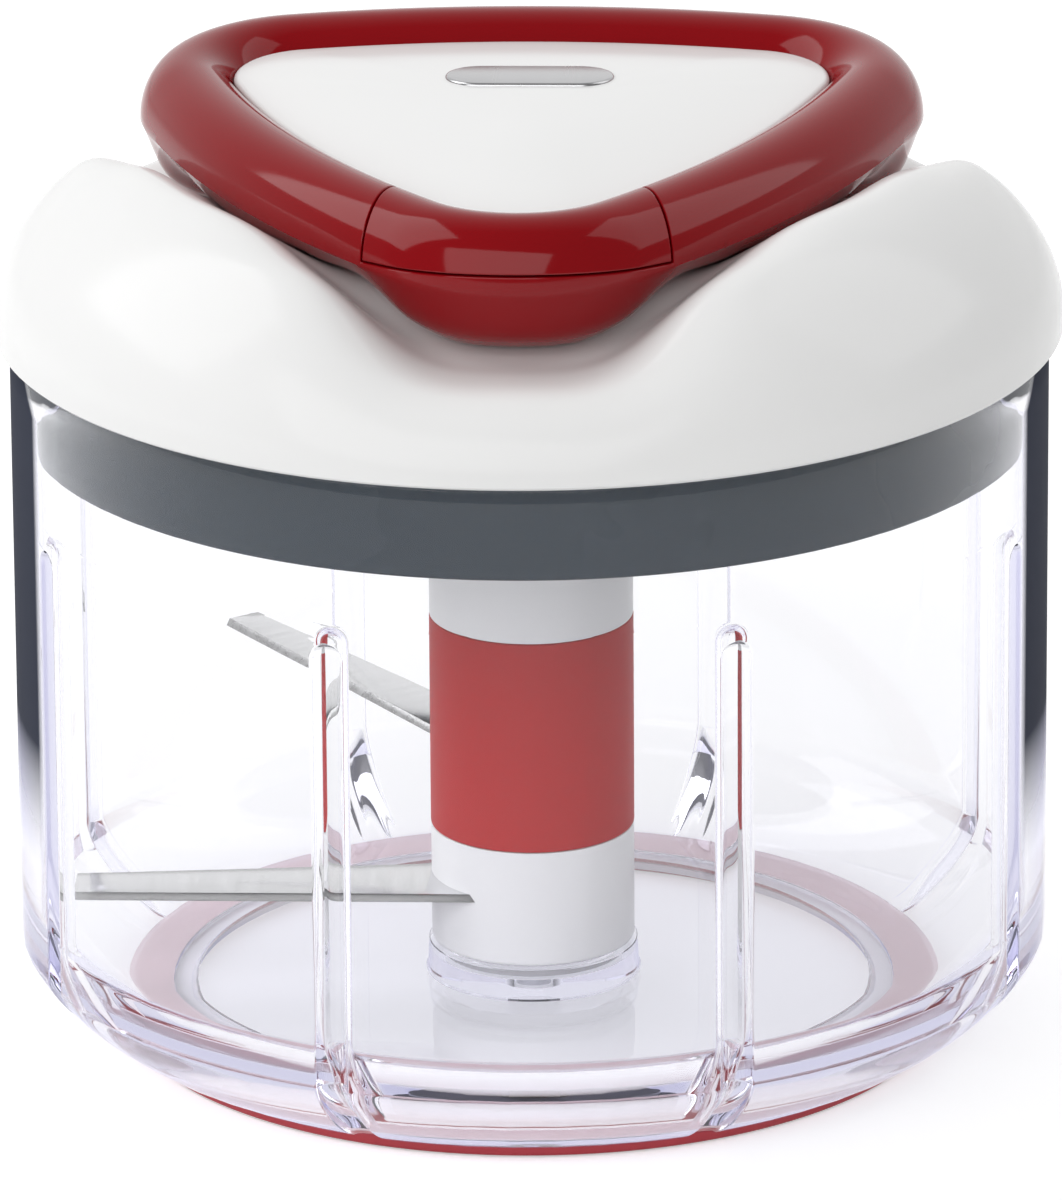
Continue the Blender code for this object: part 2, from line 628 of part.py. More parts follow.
def make_drive_socket():
    socket = cylinder("drive_socket", SOCKET_RADIUS, SOCKET_BOTTOM_Z, COLUMN_TOP_Z, SLATE)
    hexagon = cylinder("cut_hexagon", HEX_RADIUS + RUNNING_GAP, SOCKET_BOTTOM_Z + SOCKET_FLOOR_THICKNESS,
                       COLUMN_TOP_Z + OVERRUN, facets=HEX_FACETS, cutter=True)
    cut(socket, hexagon)


def valley_share(turn, t=1.0):
    """1 along the bottom of a valley, 0 on the crest of a lobe: narrow at the lid's crest, wide inside it."""
    inward = (t - TROUGH_START_SHARE) / (TROUGH_FULL_SHARE - TROUGH_START_SHARE)
    inward = min(max(inward, 0.0), 1.0)
    power = mix(CREST_VALLEY_POWER, TROUGH_VALLEY_POWER, inward * inward * (3.0 - 2.0 * inward))
    return ((1.0 + cos(LOBES * radians(turn - 270.0))) / 2.0) ** power


def lid_section(turn, steps=LID_SECTION_STEPS):
    """The outer face of the lid at one turn, from its edge to its opening."""
    points = []
    for step in range(steps + 1):
        t = step / steps
        share = valley_share(turn, t)
        radius = mix(hermite(LOBE_RADIUS_SHARES, t), hermite(VALLEY_RADIUS_SHARES, t), share)
        height = mix(hermite(LOBE_HEIGHT_SHARES, t), hermite(VALLEY_HEIGHT_SHARES, t), share)
        points.append((LID_RADIUS * radius, LID_EDGE_Z + LID_RISE * height))
    return points


def lid_height(x, y):
    """Height of the lid's outer face above a point of its plan."""
    radius = hypot(x, y)
    points = lid_section(degrees(atan2(y, x)), LID_SECTION_STEPS)
    for outer, inner in zip(points, points[1:]):
        if inner[0] <= radius <= outer[0]:
            return mix(inner[1], outer[1], (radius - inner[0]) / (outer[0] - inner[0]))
    return points[-1][1]


def inset_section(points):
    """The inner face of the lid: the section moved in by its wall."""
    moved = [(points[0][0] - LID_WALL, points[0][1])]
    for before, here, after in zip(points, points[1:], points[2:]):
        along = (after[0] - before[0], after[1] - before[1])
        length = hypot(*along)
        moved.append((here[0] - along[1] / length * LID_WALL, here[1] + along[0] / length * LID_WALL))
    moved.append((points[-1][0], points[-1][1] - LID_WALL))
    return moved


def make_cover():
    sections = []
    for number in range(LID_TURNS):
        turn = 360.0 / LID_TURNS * number
        outer = lid_section(turn)
        inner = inset_section(outer)
        sections.append([polar(radius, turn, height) for radius, height in outer + inner[::-1]])
    cover = lofted("lid_cover", sections, WHITE, closed_path=True)
    boss_bottom = LID_FLOOR_Z + LID_FLOOR_THICKNESS + GAP
    bosses = []
    holes = []
    for number, turn in enumerate(SCREW_TURNS):
        x, y, _ = polar(SCREW_CIRCLE, turn, 0.0)
        boss_top = lid_height(x, y) - LID_WALL / 2.0
        bosses.append(cylinder(f"cut_boss_{number}", SCREW_BOSS_RADIUS, boss_bottom, boss_top,
                               facets=TINY_FACETS, cutter=True, place=(x, y)))
        holes.append(cylinder(f"cut_pilot_{number}", SCREW_HOLE_RADIUS, boss_bottom - OVERRUN,
                              boss_bottom + SCREW_HOLE_DEPTH, facets=TINY_FACETS, cutter=True, place=(x, y)))
    for boss in bosses:
        join(cover, boss)
    for hole in holes:
        cut(cover, hole)


def make_collar():
    inner = COLLAR_RADIUS - COLLAR_WALL
    flange_bottom = BOWL_HEIGHT + GAP
    flange_top = flange_bottom + COLLAR_FLANGE_HEIGHT
    floor_top = LID_FLOOR_Z + LID_FLOOR_THICKNESS
    hole = BUSH_RADIUS + GAP
    profile = [(COLLAR_FLANGE_RADIUS, flange_top), (COLLAR_FLANGE_RADIUS, flange_bottom),
               (COLLAR_RADIUS, flange_bottom), (COLLAR_RADIUS, COLLAR_BOTTOM_Z + COLLAR_EDGE_ROUND),
               (COLLAR_RADIUS - COLLAR_EDGE_ROUND, COLLAR_BOTTOM_Z),
               (inner + COLLAR_EDGE_ROUND, COLLAR_BOTTOM_Z), (inner, COLLAR_BOTTOM_Z + COLLAR_EDGE_ROUND),
               (inner, LID_FLOOR_Z), (hole, LID_FLOOR_Z), (hole, floor_top), (inner, floor_top),
               (inner, flange_top)]
    collar = turned("lid_collar", profile, SLATE, COLLAR_FACETS)
    for number, turn in enumerate(SCREW_TURNS):
        x, y, _ = polar(SCREW_CIRCLE, turn, 0.0)
        hole = cylinder(f"cut_floor_hole_{number}", SCREW_HOLE_RADIUS, LID_FLOOR_Z - OVERRUN,
                        floor_top + OVERRUN, facets=TINY_FACETS, cutter=True, place=(x, y))
        cut(collar, hole)


def make_screws():
    top = LID_FLOOR_Z - GAP
    for letter, turn in zip("abc", SCREW_TURNS):
        profile = [(0.0, top + SCREW_LENGTH), (SCREW_SHANK_RADIUS, top + SCREW_LENGTH - SCREW_SHANK_RADIUS),
                   (SCREW_SHANK_RADIUS, top), (SCREW_HEAD_RADIUS, top),
                   (SCREW_HEAD_RADIUS, top - SCREW_HEAD_HEIGHT), (0.0, top - SCREW_HEAD_HEIGHT)]
        screw = turned("lid_screw_" + letter, profile, STEEL, TINY_FACETS)
        screw.location = polar(SCREW_CIRCLE, turn, 0.0)


def ring_side():
    """Centre distance and radius of the wide arc that joins two corner arcs of the ring."""
    along = RING_CORNER_DISTANCE * cos(radians(60.0))
    across = RING_CORNER_DISTANCE * sin(radians(60.0))
    reach = RING_SIDE_DISTANCE - RING_CORNER_RADIUS
    back = (along ** 2 + across ** 2 - reach ** 2) / (2.0 * (reach - along))
    half_span = degrees(atan2(across, along + back))
    return back, RING_SIDE_DISTANCE + back, half_span


def ring_point(turn, offset):
    """A point of the ring's plan: turn is the direction that its outline faces there."""
    back, side_radius, half_span = ring_side()
    corner = 270.0 + 120.0 * round((turn - 270.0) / 120.0)
    if abs(turn - corner) <= 60.0 - half_span:
        x, y, _ = polar(RING_CORNER_DISTANCE, corner, 0.0)
        radius = RING_CORNER_RADIUS
    else:
        side = corner + (60.0 if turn > corner else -60.0)
        x, y, _ = polar(-back, side, 0.0)
        radius = side_radius
    out_x, out_y, _ = polar(radius + offset, turn, 0.0)
    return x + out_x, y + out_y


def ring_turns():
    """Directions round the ring, close together on its wide sides."""
    half_span = ring_side()[2]
    turns = []
    for corner in (270.0, 390.0, 510.0):
        start = corner - (60.0 - half_span)
        span = 2.0 * (60.0 - half_span)
        turns += [start + span * step / RING_CORNER_STEPS for step in range(RING_CORNER_STEPS)]
        turns += [start + span + 2.0 * half_span * step / RING_SIDE_STEPS for step in range(RING_SIDE_STEPS)]
    return turns


def crest_height(y):
    """The ring leans a little, with its crest lowest at the pull handle."""
    return RING_CREST_Z + RING_LEAN * y


def foot_offset(turn):
    """Offset at which the ring's foot meets the lid: far out along each valley."""
    low = -RING_HALF_WIDTH
    high = RING_FOOT_TIP
    for _ in range(24):
        middle = (low + high) / 2.0
        x, y = ring_point(turn, middle)
        share = valley_share(degrees(atan2(y, x)))
        if hypot(x, y) < mix(RING_FOOT_SIDE, RING_FOOT_TIP, share):
            low = middle
        else:
            high = middle
    return low


def ring_seat(turn, offset, rise=RING_SEAT_GAP):
    x, y = ring_point(turn, offset)
    return (x, y, lid_height(x, y) + rise)


def ring_section(turn):
    """One closed section of the ring, from its outer waist over the crest to its foot."""
    crest = crest_height(ring_point(turn, 0.0)[1])
    waist = crest - RING_HALF_HEIGHT
    points = []
    for step in range(RING_ARC_STEPS + 1):
        angle = pi * step / RING_ARC_STEPS
        x, y = ring_point(turn, RING_HALF_WIDTH * cos(angle))
        points.append((x, y, waist + RING_HALF_HEIGHT * sin(angle)))
    ledge = -RING_HALF_WIDTH - RING_LEDGE_WIDTH
    points.append((*ring_point(turn, -RING_HALF_WIDTH), CAP_SEAT_Z))
    points.append((*ring_point(turn, ledge), CAP_SEAT_Z))
    foot = foot_offset(turn)
    points.append(ring_seat(turn, ledge))
    points.append(ring_seat(turn, mix(ledge, foot, 1.0 / 3.0)))
    points.append(ring_seat(turn, mix(ledge, foot, 2.0 / 3.0)))
    points.append(ring_seat(turn, foot))
    foot_z = points[-1][2]
    for out_share, down_share in reversed(RING_NECK_SHARES):
        offset = mix(RING_HALF_WIDTH, foot, out_share) - RING_NECK_HOLLOW
        lowest = ring_seat(turn, offset, RING_NECK_GAP)
        points.append((*lowest[:2], max(lowest[2], mix(waist, foot_z, down_share))))
    return points


def part_height(x):
    """The parting face under the pull handle: arched across, straight along the pull."""
    return HANDLE_PART_Z - HANDLE_PART_DROP * (x / HANDLE_END_HALF_WIDTH) ** 2


def handle_wedge(name, inset, back):
    """The block of space between the ends of the handle: wider in front, arched beneath."""
    front = -LID_RADIUS
    reach = HANDLE_END_FLARE * (HANDLE_END_Y - front)
    shrink = HANDLE_END_FLARE * (back - HANDLE_END_Y)
    sections = []
    for y, half in ((back, HANDLE_END_HALF_WIDTH - shrink), (front, HANDLE_END_HALF_WIDTH + reach)):
        section = []
        for step in range(HANDLE_STEPS + 1):
            x = mix(-1.0, 1.0, step / HANDLE_STEPS) * (half - inset)
            section.append((x, y, part_height(x) + inset))
        section.append((half - inset, y, RING_CREST_Z + LID_WALL))
        section.append((inset - half, y, RING_CREST_Z + LID_WALL))
        sections.append(section)
    return lofted(name, sections, cutter=True)


def corner_band(name, inner, outer, low, high):
    """A band that follows the front corner of the ring between two offsets."""
    sections = []
    for step in range(HANDLE_STEPS + 1):
        turn = 270.0 + mix(-HANDLE_REACH, HANDLE_REACH, step / HANDLE_STEPS)
        sections.append([(*ring_point(turn, offset), height)
                         for offset, height in ((inner, low), (outer, low), (outer, high), (inner, high))])
    return lofted(name, sections, cutter=True)


def make_ring():
    """The finger ring and, cut from the same form, the pull handle in its front corner."""
    sections = [ring_section(turn) for turn in ring_turns()]
    ring = lofted("handle_ring", sections, RED, closed_path=True)
    blank = lofted("pull_handle", sections, RED, closed_path=True)
    top = RING_CREST_Z + LID_WALL
    low = HANDLE_PART_Z - RING_HALF_HEIGHT / 2.0
    half_seam = HANDLE_SEAM / 2.0
    back = -RING_CORNER_DISTANCE + RING_HALF_WIDTH
    reach = RING_HALF_WIDTH + RING_CORNER_RADIUS
    pocket = handle_wedge("cut_pocket", -half_seam, back)
    boolean(pocket, "INTERSECT", corner_band("cut_pocket_band", -HANDLE_INNER - half_seam, reach, low, top))
    cut(ring, pocket)
    boolean(blank, "INTERSECT", handle_wedge("cut_handle_wedge", half_seam, back))
    boolean(blank, "INTERSECT", corner_band("cut_handle_band", -HANDLE_INNER + half_seam, reach, low, top))
    stop_hole = along_y("cut_stop_hole", STOP_RADIUS + GAP, handle_back() - STOP_DEPTH - GAP,
                        handle_back() + OVERRUN, CORD_Z)
    cut(blank, stop_hole)
    cut(ring, along_y("cut_guide_hole", GUIDE_RADIUS + GAP, handle_back() - OVERRUN,
                      handle_back() + HANDLE_INNER * 2.0, CORD_Z))


def handle_back():
    """Y of the back face of the pull handle on the centre line."""
    return -(RING_CORNER_DISTANCE + RING_CORNER_RADIUS - HANDLE_INNER)


def along_y(name, radius, front, back, height, look=None):
    """A short round bar along Y."""
    bm = bmesh.new()
    place = Matrix.Translation(Vector((0.0, (front + back) / 2.0, height)))
    bmesh.ops.create_cone(bm, cap_ends=True, segments=TINY_FACETS, radius1=radius, radius2=radius,
                          depth=back - front, matrix=place @ Matrix.Rotation(pi / 2.0, 4, "X"))
    return add_object(name, mesh_from_bmesh(name, bm), look, cutter=look is None)


def make_cord_fittings():
    back = handle_back()
    along_y("cord_stop", STOP_RADIUS, back - STOP_DEPTH, back - STOP_DEPTH + STOP_LENGTH, CORD_Z, SLATE)
    guide = along_y("cord_guide", GUIDE_RADIUS, back + GAP, back + GAP + GUIDE_LENGTH, CORD_Z, STEEL)
    cut(guide, along_y("cut_guide_bore", GUIDE_BORE_RADIUS, back - OVERRUN,
                       back + GUIDE_LENGTH + OVERRUN * 2.0, CORD_Z))


def cap_section(turn):
    """Half a section of the cap: over the dome to the rim, then back under the roof."""
    crest = crest_height(ring_point(turn, 0.0)[1])
    waist = crest - RING_HALF_HEIGHT
    edge_z = crest - CAP_EDGE_DROP
    flare = edge_z - CAP_EDGE_ROUND
    lift = (flare - waist) / RING_HALF_HEIGHT
    flare_offset = -RING_HALF_WIDTH * sqrt(1.0 - lift ** 2) - CAP_SIDE_GAP
    side_offset = -RING_HALF_WIDTH - CAP_SIDE_GAP
    edge = ring_point(turn, flare_offset - CAP_EDGE_ROUND)
    roof = ring_point(turn, side_offset - CAP_WALL)
    centre_z = crest_height(0.0) - CAP_EDGE_DROP + CAP_DOME
    points = []
    for share in reversed(CAP_DOME_SHARES):
        height = mix(centre_z, edge_z, share ** 2)
        points.append((edge[0] * share, edge[1] * share, height))
    points.append((*edge, edge_z))
    points.append((*ring_point(turn, flare_offset), flare))
    points.append((*ring_point(turn, side_offset), waist + RING_HALF_HEIGHT * lift / 3.0))
    points.append((*ring_point(turn, side_offset), CAP_SEAT_Z + GAP))
    points.append((*roof, CAP_SEAT_Z + GAP))
    points.append((*roof, flare - CAP_WALL))
    for share in CAP_DOME_SHARES[1:]:
        height = mix(centre_z, edge_z, share ** 2) - CAP_WALL
        points.append((roof[0] * share, roof[1] * share, height))
    return points


def make_cap():
    """The white centre cap: a thin dome with a rim that fits inside the ring."""
    centre_z = crest_height(0.0) - CAP_EDGE_DROP + CAP_DOME
    sections = [cap_section(turn) for turn in ring_turns()]
    cap = lofted("centre_cap", sections, WHITE, closed_path=True, closed_section=False,
                 poles=((0.0, 0.0, centre_z), (0.0, 0.0, centre_z - CAP_WALL)))
    boss = cylinder("cut_cap_boss", CAP_BOSS_RADIUS, CAP_BOSS_BOTTOM_Z, centre_z - CAP_WALL / 2.0,
                    cutter=True)
    bore = cylinder("cut_cap_bore", AXLE_RADIUS + GAP, CAP_BOSS_BOTTOM_Z - OVERRUN, AXLE_TOP_Z + GAP,
                    cutter=True)
    join(cap, boss)
    cut(cap, bore)
    notch = tube("cut_cord_notch", cord_path(), CORD_RADIUS + GAP, cutter=True)
    cut(cap, notch)
    cut(cap, inlay_solid("cut_inlay_recess", GAP, INLAY_THICKNESS))


def inlay_outline(grow):
    """A flat bar with round ends."""
    radius = INLAY_WIDTH / 2.0 + grow
    reach = INLAY_LENGTH / 2.0 - INLAY_WIDTH / 2.0
    outline = []
    for side in (1.0, -1.0):
        for step in range(STADIUM_STEPS + 1):
            turn = -pi / 2.0 + pi * step / STADIUM_STEPS
            outline.append((side * (reach + radius * cos(turn)), side * radius * sin(turn)))
    return outline


def inlay_place():
    """Where the inlay lies on the dome, and how it tilts with it."""
    edge_y = ring_point(450.0, -RING_HALF_WIDTH)[1]
    centre_z = crest_height(0.0) - CAP_EDGE_DROP + CAP_DOME
    edge_z = crest_height(edge_y) - CAP_EDGE_DROP
    share = INLAY_Y / edge_y
    height = mix(centre_z, edge_z, share ** 2)
    slope = 2.0 * share * (edge_z - centre_z) / edge_y
    return Matrix.Translation(Vector((0.0, INLAY_Y, height))) @ Matrix.Rotation(atan2(slope, 1.0), 4, "X")


def inlay_solid(name, grow, depth, look=None):
    top = INLAY_PROUD if look else INLAY_THICKNESS + INLAY_PROUD
    bottom = INLAY_PROUD - depth - (0.0 if look else GAP)
    made = prism(name, inlay_outline(grow), bottom, top, look, cutter=look is None)
    made.data.transform(inlay_place())
    return made


def make_axle():
    profile = [(0.0, AXLE_TOP_Z), (AXLE_RADIUS, AXLE_TOP_Z), (AXLE_RADIUS, AXLE_BOTTOM_Z),
               (0.0, AXLE_BOTTOM_Z)]
    turned("reel_axle", profile, STEEL, TINY_FACETS)


def make_reel():
    core = REEL_WIND_RADIUS - CORD_RADIUS - GAP
    bore = AXLE_RADIUS + GAP
    floor_bottom = REEL_FLOOR_Z - REEL_FLANGE_THICKNESS
    roof_bottom = REEL_TOP_Z - REEL_FLANGE_THICKNESS
    profile = [(REEL_FLANGE_RADIUS, REEL_TOP_Z), (REEL_FLANGE_RADIUS, roof_bottom), (core, roof_bottom),
               (core, REEL_FLOOR_Z), (REEL_FLANGE_RADIUS, REEL_FLOOR_Z), (REEL_FLANGE_RADIUS, floor_bottom),
               (REEL_HUB_RADIUS, floor_bottom), (REEL_HUB_RADIUS, REEL_HUB_BOTTOM_Z),
               (bore, REEL_HUB_BOTTOM_Z), (bore, REEL_TOP_Z)]
    turned("reel", profile, WHITE)


def cord_exit():
    """Turn at which the cord leaves the reel, and the point that it heads for."""
    guide_y = handle_back() + GUIDE_LENGTH + GAP
    turn = 270.0 - degrees(acos(REEL_WIND_RADIUS / -guide_y))
    return turn, guide_y


def cord_path():
    """The stowed cord: from its stop in the handle through the guide to the reel."""
    turn, guide_y = cord_exit()
    start = (0.0, handle_back() - STOP_DEPTH + STOP_LENGTH + GAP, CORD_Z)
    guide = Vector((0.0, guide_y, CORD_Z))
    end = Vector(polar(REEL_WIND_RADIUS, turn, WIND_EXIT_Z))
    return [start, (0.0, handle_back(), CORD_Z), tuple(guide), tuple(guide.lerp(end, 0.5)), tuple(end)]


def make_cord():
    tube("pull_cord", cord_path(), CORD_RADIUS, CORD_WHITE)
    turn, _ = cord_exit()
    clear = degrees((CORD_RADIUS + GAP) / REEL_WIND_RADIUS)
    steps = round(WIND_TURNS * WIND_STEPS)
    points = []
    for step in range(steps + 1):
        share = step / steps
        wound = WIND_TURNS * share
        points.append(polar(REEL_WIND_RADIUS, turn - clear - 360.0 * wound, WIND_EXIT_Z - WIND_PITCH * wound))
    tube("cord_winding", points, CORD_RADIUS, CORD_WHITE, resolution=1)


def make_spring_case():
    inner = CASE_RADIUS - CASE_WALL
    floor_top = CASE_BOTTOM_Z + CASE_WALL
    hole = REEL_HUB_RADIUS + RUNNING_GAP
    flange_bottom = CASE_TOP_Z - CASE_FLANGE_THICKNESS
    profile = [(CASE_FLANGE_RADIUS, CASE_TOP_Z), (CASE_FLANGE_RADIUS, flange_bottom),
               (CASE_RADIUS, flange_bottom), (CASE_RADIUS, CASE_BOTTOM_Z), (hole, CASE_BOTTOM_Z),
               (hole, floor_top), (inner, floor_top), (inner, CASE_TOP_Z)]
    turned("spring_case", profile, SLATE, COLLAR_FACETS)


def make_recoil_spring():
    """A flat steel band wound in a spiral from the reel's hub to the wall of its case."""
    steps = SPRING_TURNS * SPRING_STEPS
    sections = []
    for step in range(steps + 1):
        share = step / steps
        turn = 360.0 * SPRING_TURNS * share
        inner = mix(SPRING_INNER_RADIUS, SPRING_OUTER_RADIUS - SPRING_THICKNESS, share)
        outer = inner + SPRING_THICKNESS
        sections.append([polar(inner, turn, SPRING_BOTTOM_Z), polar(outer, turn, SPRING_BOTTOM_Z),
                         polar(outer, turn, SPRING_TOP_Z), polar(inner, turn, SPRING_TOP_Z)])
    lofted("recoil_spring", sections, SPRING_STEEL)


def make_pawl_ring():
    """A disc under the reel with three springy arms that push on the ratchet one way only."""
    bottom = RATCHET_TOP_Z + GAP
    bore = AXLE_RADIUS + GAP
    top = bottom + PAWL_RING_THICKNESS
    profile = [(PAWL_RING_RADIUS, top), (PAWL_RING_RADIUS, bottom), (bore, bottom), (bore, top)]
    disc = turned("pawl_ring", profile, WHITE)
    for number in range(PAWL_COUNT):
        start = 360.0 / PAWL_COUNT * number
        root_radius = PAWL_RING_RADIUS - RUNNING_GAP
        root = (root_radius, root_radius)
        arm = (root_radius - GAP, PAWL_TIP_RADIUS + PAWL_ARM_WIDTH)
        join(disc, pawl_solid(f"cut_pawl_root_{number}", start, PAWL_ROOT_SPAN, root,
                              (RATCHET_BOTTOM_Z + GAP, bottom + PAWL_RING_THICKNESS / 2.0)))
        join(disc, pawl_solid(f"cut_pawl_arm_{number}", start + PAWL_ROOT_SPAN / 2.0, PAWL_ARM_SPAN, arm,
                              (RATCHET_BOTTOM_Z + GAP * 2.0, RATCHET_TOP_Z - GAP)))


def pawl_solid(name, start, span, radii, heights):
    outer = []
    inner = []
    for step in range(PAWL_STEPS + 1):
        share = step / PAWL_STEPS
        radius = mix(radii[0], radii[1], share ** 2)
        outer.append(polar(radius, start + span * share, 0.0)[:2])
        inner.append(polar(radius - PAWL_ARM_WIDTH, start + span * share, 0.0)[:2])
    return prism(name, outer + inner[::-1], heights[0], heights[1], cutter=True)


def make_ratchet():
    outline = []
    for tooth in range(RATCHET_TEETH):
        turn = 360.0 / RATCHET_TEETH * tooth
        outline.append(polar(RATCHET_RADIUS, turn, 0.0)[:2])
        outline.append(polar(RATCHET_RADIUS - RATCHET_TOOTH, turn + GAP / RATCHET_RADIUS, 0.0)[:2])
    ratchet = prism("ratchet_wheel", outline, RATCHET_BOTTOM_Z, RATCHET_TOP_Z, SLATE)
    cut(ratchet, cylinder("cut_ratchet_bore", SHAFT_TOP_RADIUS + GAP, RATCHET_BOTTOM_Z - OVERRUN,
                          RATCHET_TOP_Z + OVERRUN, cutter=True))


def make_shaft():
    profile = [(0.0, RATCHET_TOP_Z), (SHAFT_TOP_RADIUS, RATCHET_TOP_Z), (SHAFT_TOP_RADIUS, BUSH_TOP_Z),
               (SHAFT_RADIUS, BUSH_TOP_Z), (SHAFT_RADIUS, HEX_TOP_Z), (0.0, HEX_TOP_Z)]
    shaft = turned("drive_shaft", profile, STEEL)
    join(shaft, cylinder("cut_shaft_hexagon", HEX_RADIUS, SHAFT_BOTTOM_Z, HEX_TOP_Z + GAP, facets=HEX_FACETS,
                         cutter=True))


def make_bush():
    bore = SHAFT_RADIUS + GAP
    floor_top = LID_FLOOR_Z + LID_FLOOR_THICKNESS + GAP
    flange_top = floor_top + BUSH_FLANGE_THICKNESS
    profile = [(BUSH_RADIUS, BUSH_TOP_Z), (BUSH_RADIUS, flange_top), (BUSH_FLANGE_RADIUS, flange_top),
               (BUSH_FLANGE_RADIUS, floor_top), (BUSH_RADIUS, floor_top), (BUSH_RADIUS, BUSH_BOTTOM_Z),
               (bore, BUSH_BOTTOM_Z), (bore, BUSH_TOP_Z)]
    turned("shaft_bush", profile, BLACK)


def hold_on_axes():
    """Parent the moving pieces to empties that stand on their axes."""
    groups = {
        "lid_axis": ((0.0, 0.0, LID_EDGE_Z), ("lid_cover", "lid_collar", "lid_screw_a", "lid_screw_b",
                     "lid_screw_c", "handle_ring", "centre_cap", "cap_inlay", "cord_guide", "reel_axle",
                     "spring_case", "recoil_spring", "shaft_bush")),
        "reel_spin_axis": ((0.0, 0.0, REEL_FLOOR_Z), ("reel", "cord_winding", "pawl_ring")),
        "drive_axis": ((0.0, 0.0, BUSH_BOTTOM_Z), ("drive_shaft", "ratchet_wheel")),
        "pull_axis": ((0.0, handle_back(), CORD_Z), ("pull_handle", "cord_stop", "pull_cord")),
        "blade_axis": ((0.0, 0.0, COLUMN_BOTTOM_Z), ("hub_column", "hub_sleeve", "drive_socket",
                       "lower_blade", "upper_blade")),
        "lift_axis": ((0.0, 0.0, HUB_SEAT_FLOOR_Z), ("foot_washer",)),
    }
    above = {"reel_spin_axis": "lid_axis", "drive_axis": "lid_axis", "pull_axis": "lid_axis",
             "blade_axis": "lift_axis"}
    holders = {}
    for name, (place, _) in groups.items():
        holder = bpy.data.objects.new(name, None)
        holder.location = place
        PARTS.objects.link(holder)
        holders[name] = holder
    bpy.context.view_layer.update()
    for child, parent in above.items():
        holders[child].parent = holders[parent]
        holders[child].matrix_parent_inverse = holders[parent].matrix_world.inverted()
    bpy.context.view_layer.update()
    for name, (_, members) in groups.items():
        for member in members:
            piece = PARTS.objects[member]
            piece.parent = holders[name]
            piece.matrix_parent_inverse = holders[name].matrix_world.inverted()


clear_scene()
PARTS = new_collection(NAME)
CUTTERS = new_collection("cutters")

make_bowl()
make_foot()
make_pin()
make_washer()
make_column()
make_drive_socket()
make_cover()
make_collar()
make_screws()
make_ring()
make_cord_fittings()
make_cap()
inlay_solid("cap_inlay", 0.0, INLAY_THICKNESS, STEEL)
make_axle()
make_reel()
make_cord()
make_spring_case()
make_recoil_spring()
make_pawl_ring()
make_ratchet()
make_shaft()
make_bush()
hold_on_axes()
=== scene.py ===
from math import acos, asin, atan2, cos, degrees, hypot, pi, radians, sin, sqrt

import bpy
from mathutils import Matrix, Vector


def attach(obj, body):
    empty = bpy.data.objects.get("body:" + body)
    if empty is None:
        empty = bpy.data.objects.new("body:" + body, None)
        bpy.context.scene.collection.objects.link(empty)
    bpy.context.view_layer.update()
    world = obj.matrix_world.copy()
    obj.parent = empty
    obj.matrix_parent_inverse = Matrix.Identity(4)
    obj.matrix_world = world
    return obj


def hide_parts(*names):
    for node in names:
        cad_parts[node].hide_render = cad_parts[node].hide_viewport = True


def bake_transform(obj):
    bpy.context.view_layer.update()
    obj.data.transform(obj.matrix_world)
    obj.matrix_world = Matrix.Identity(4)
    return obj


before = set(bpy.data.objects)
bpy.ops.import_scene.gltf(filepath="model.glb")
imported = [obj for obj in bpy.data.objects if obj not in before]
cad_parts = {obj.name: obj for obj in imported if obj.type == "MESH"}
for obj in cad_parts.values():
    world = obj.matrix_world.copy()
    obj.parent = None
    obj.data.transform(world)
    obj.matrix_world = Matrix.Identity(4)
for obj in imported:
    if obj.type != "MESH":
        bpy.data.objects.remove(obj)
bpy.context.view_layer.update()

# Clear bowl
# The bowl is moulded in one shot from clear plastic with a faint violet cast. Eight flutes run
# down its wall, a groove outside and a rib inside each, and turn under at the soft bottom corner.
# A low seat for the blade column stands in the middle of its floor, round a socket for the pin.

BOWL_RADIUS = 0.0633
BOWL_WALL = 0.0023
BOWL_HEIGHT = 0.0890
RIM_RISE = 0.0005
UPPER_WALL = (0.0720, 0.0780, 0.0840)
FLOOR_TOP_Z = 0.0058
FLOOR_UNDER_Z = 0.0032
UNDERSIDE_Z = 0.0009
CORNER_POWER = 1.354
CORNER_STEPS = 24
INNER_CORNER = (0.0120, 0.0110)
OUTER_CORNER = (0.01345, 0.01095)
FLUTES = 8
FIRST_FLUTE = 270.0 + 24.4
FLUTE_TOP_Z = 0.0684
GROOVE_RADIUS = 0.0020
GROOVE_OUT = 0.0001
GROOVE_EASE = 0.0003
RIDGE_RADIUS = 0.0019
RIDGE_OUT = 0.0003
RIDGE_EASE = 0.00035
RIDGE_TOP_Z = 0.0700
FADE_LAST_STEP = 23.0
FADE_STEPS = 11.0
NARROWING_RADIUS = 0.0450
LEAST_SPREAD = 0.06
FLUTE_COLUMNS = 24
PLAIN_COLUMNS = 15
SEAT_RADIUS = 0.0129
SEAT_WALL = 0.0017
SEAT_TOP_Z = 0.0097
SEAT_FLOOR_Z = 0.0080
PIN_HOLE_RADIUS = 0.0025
PIN_HOLE_FLOOR_Z = 0.0044
FOOT_GROOVE_RADIUS = 0.0510
FOOT_GROOVE_WIDTH = 0.0064
RIB_WIDTH = 0.0024
RIB_DRAFT = 0.0006
GAP = 0.0003
SOFT = 0.0001


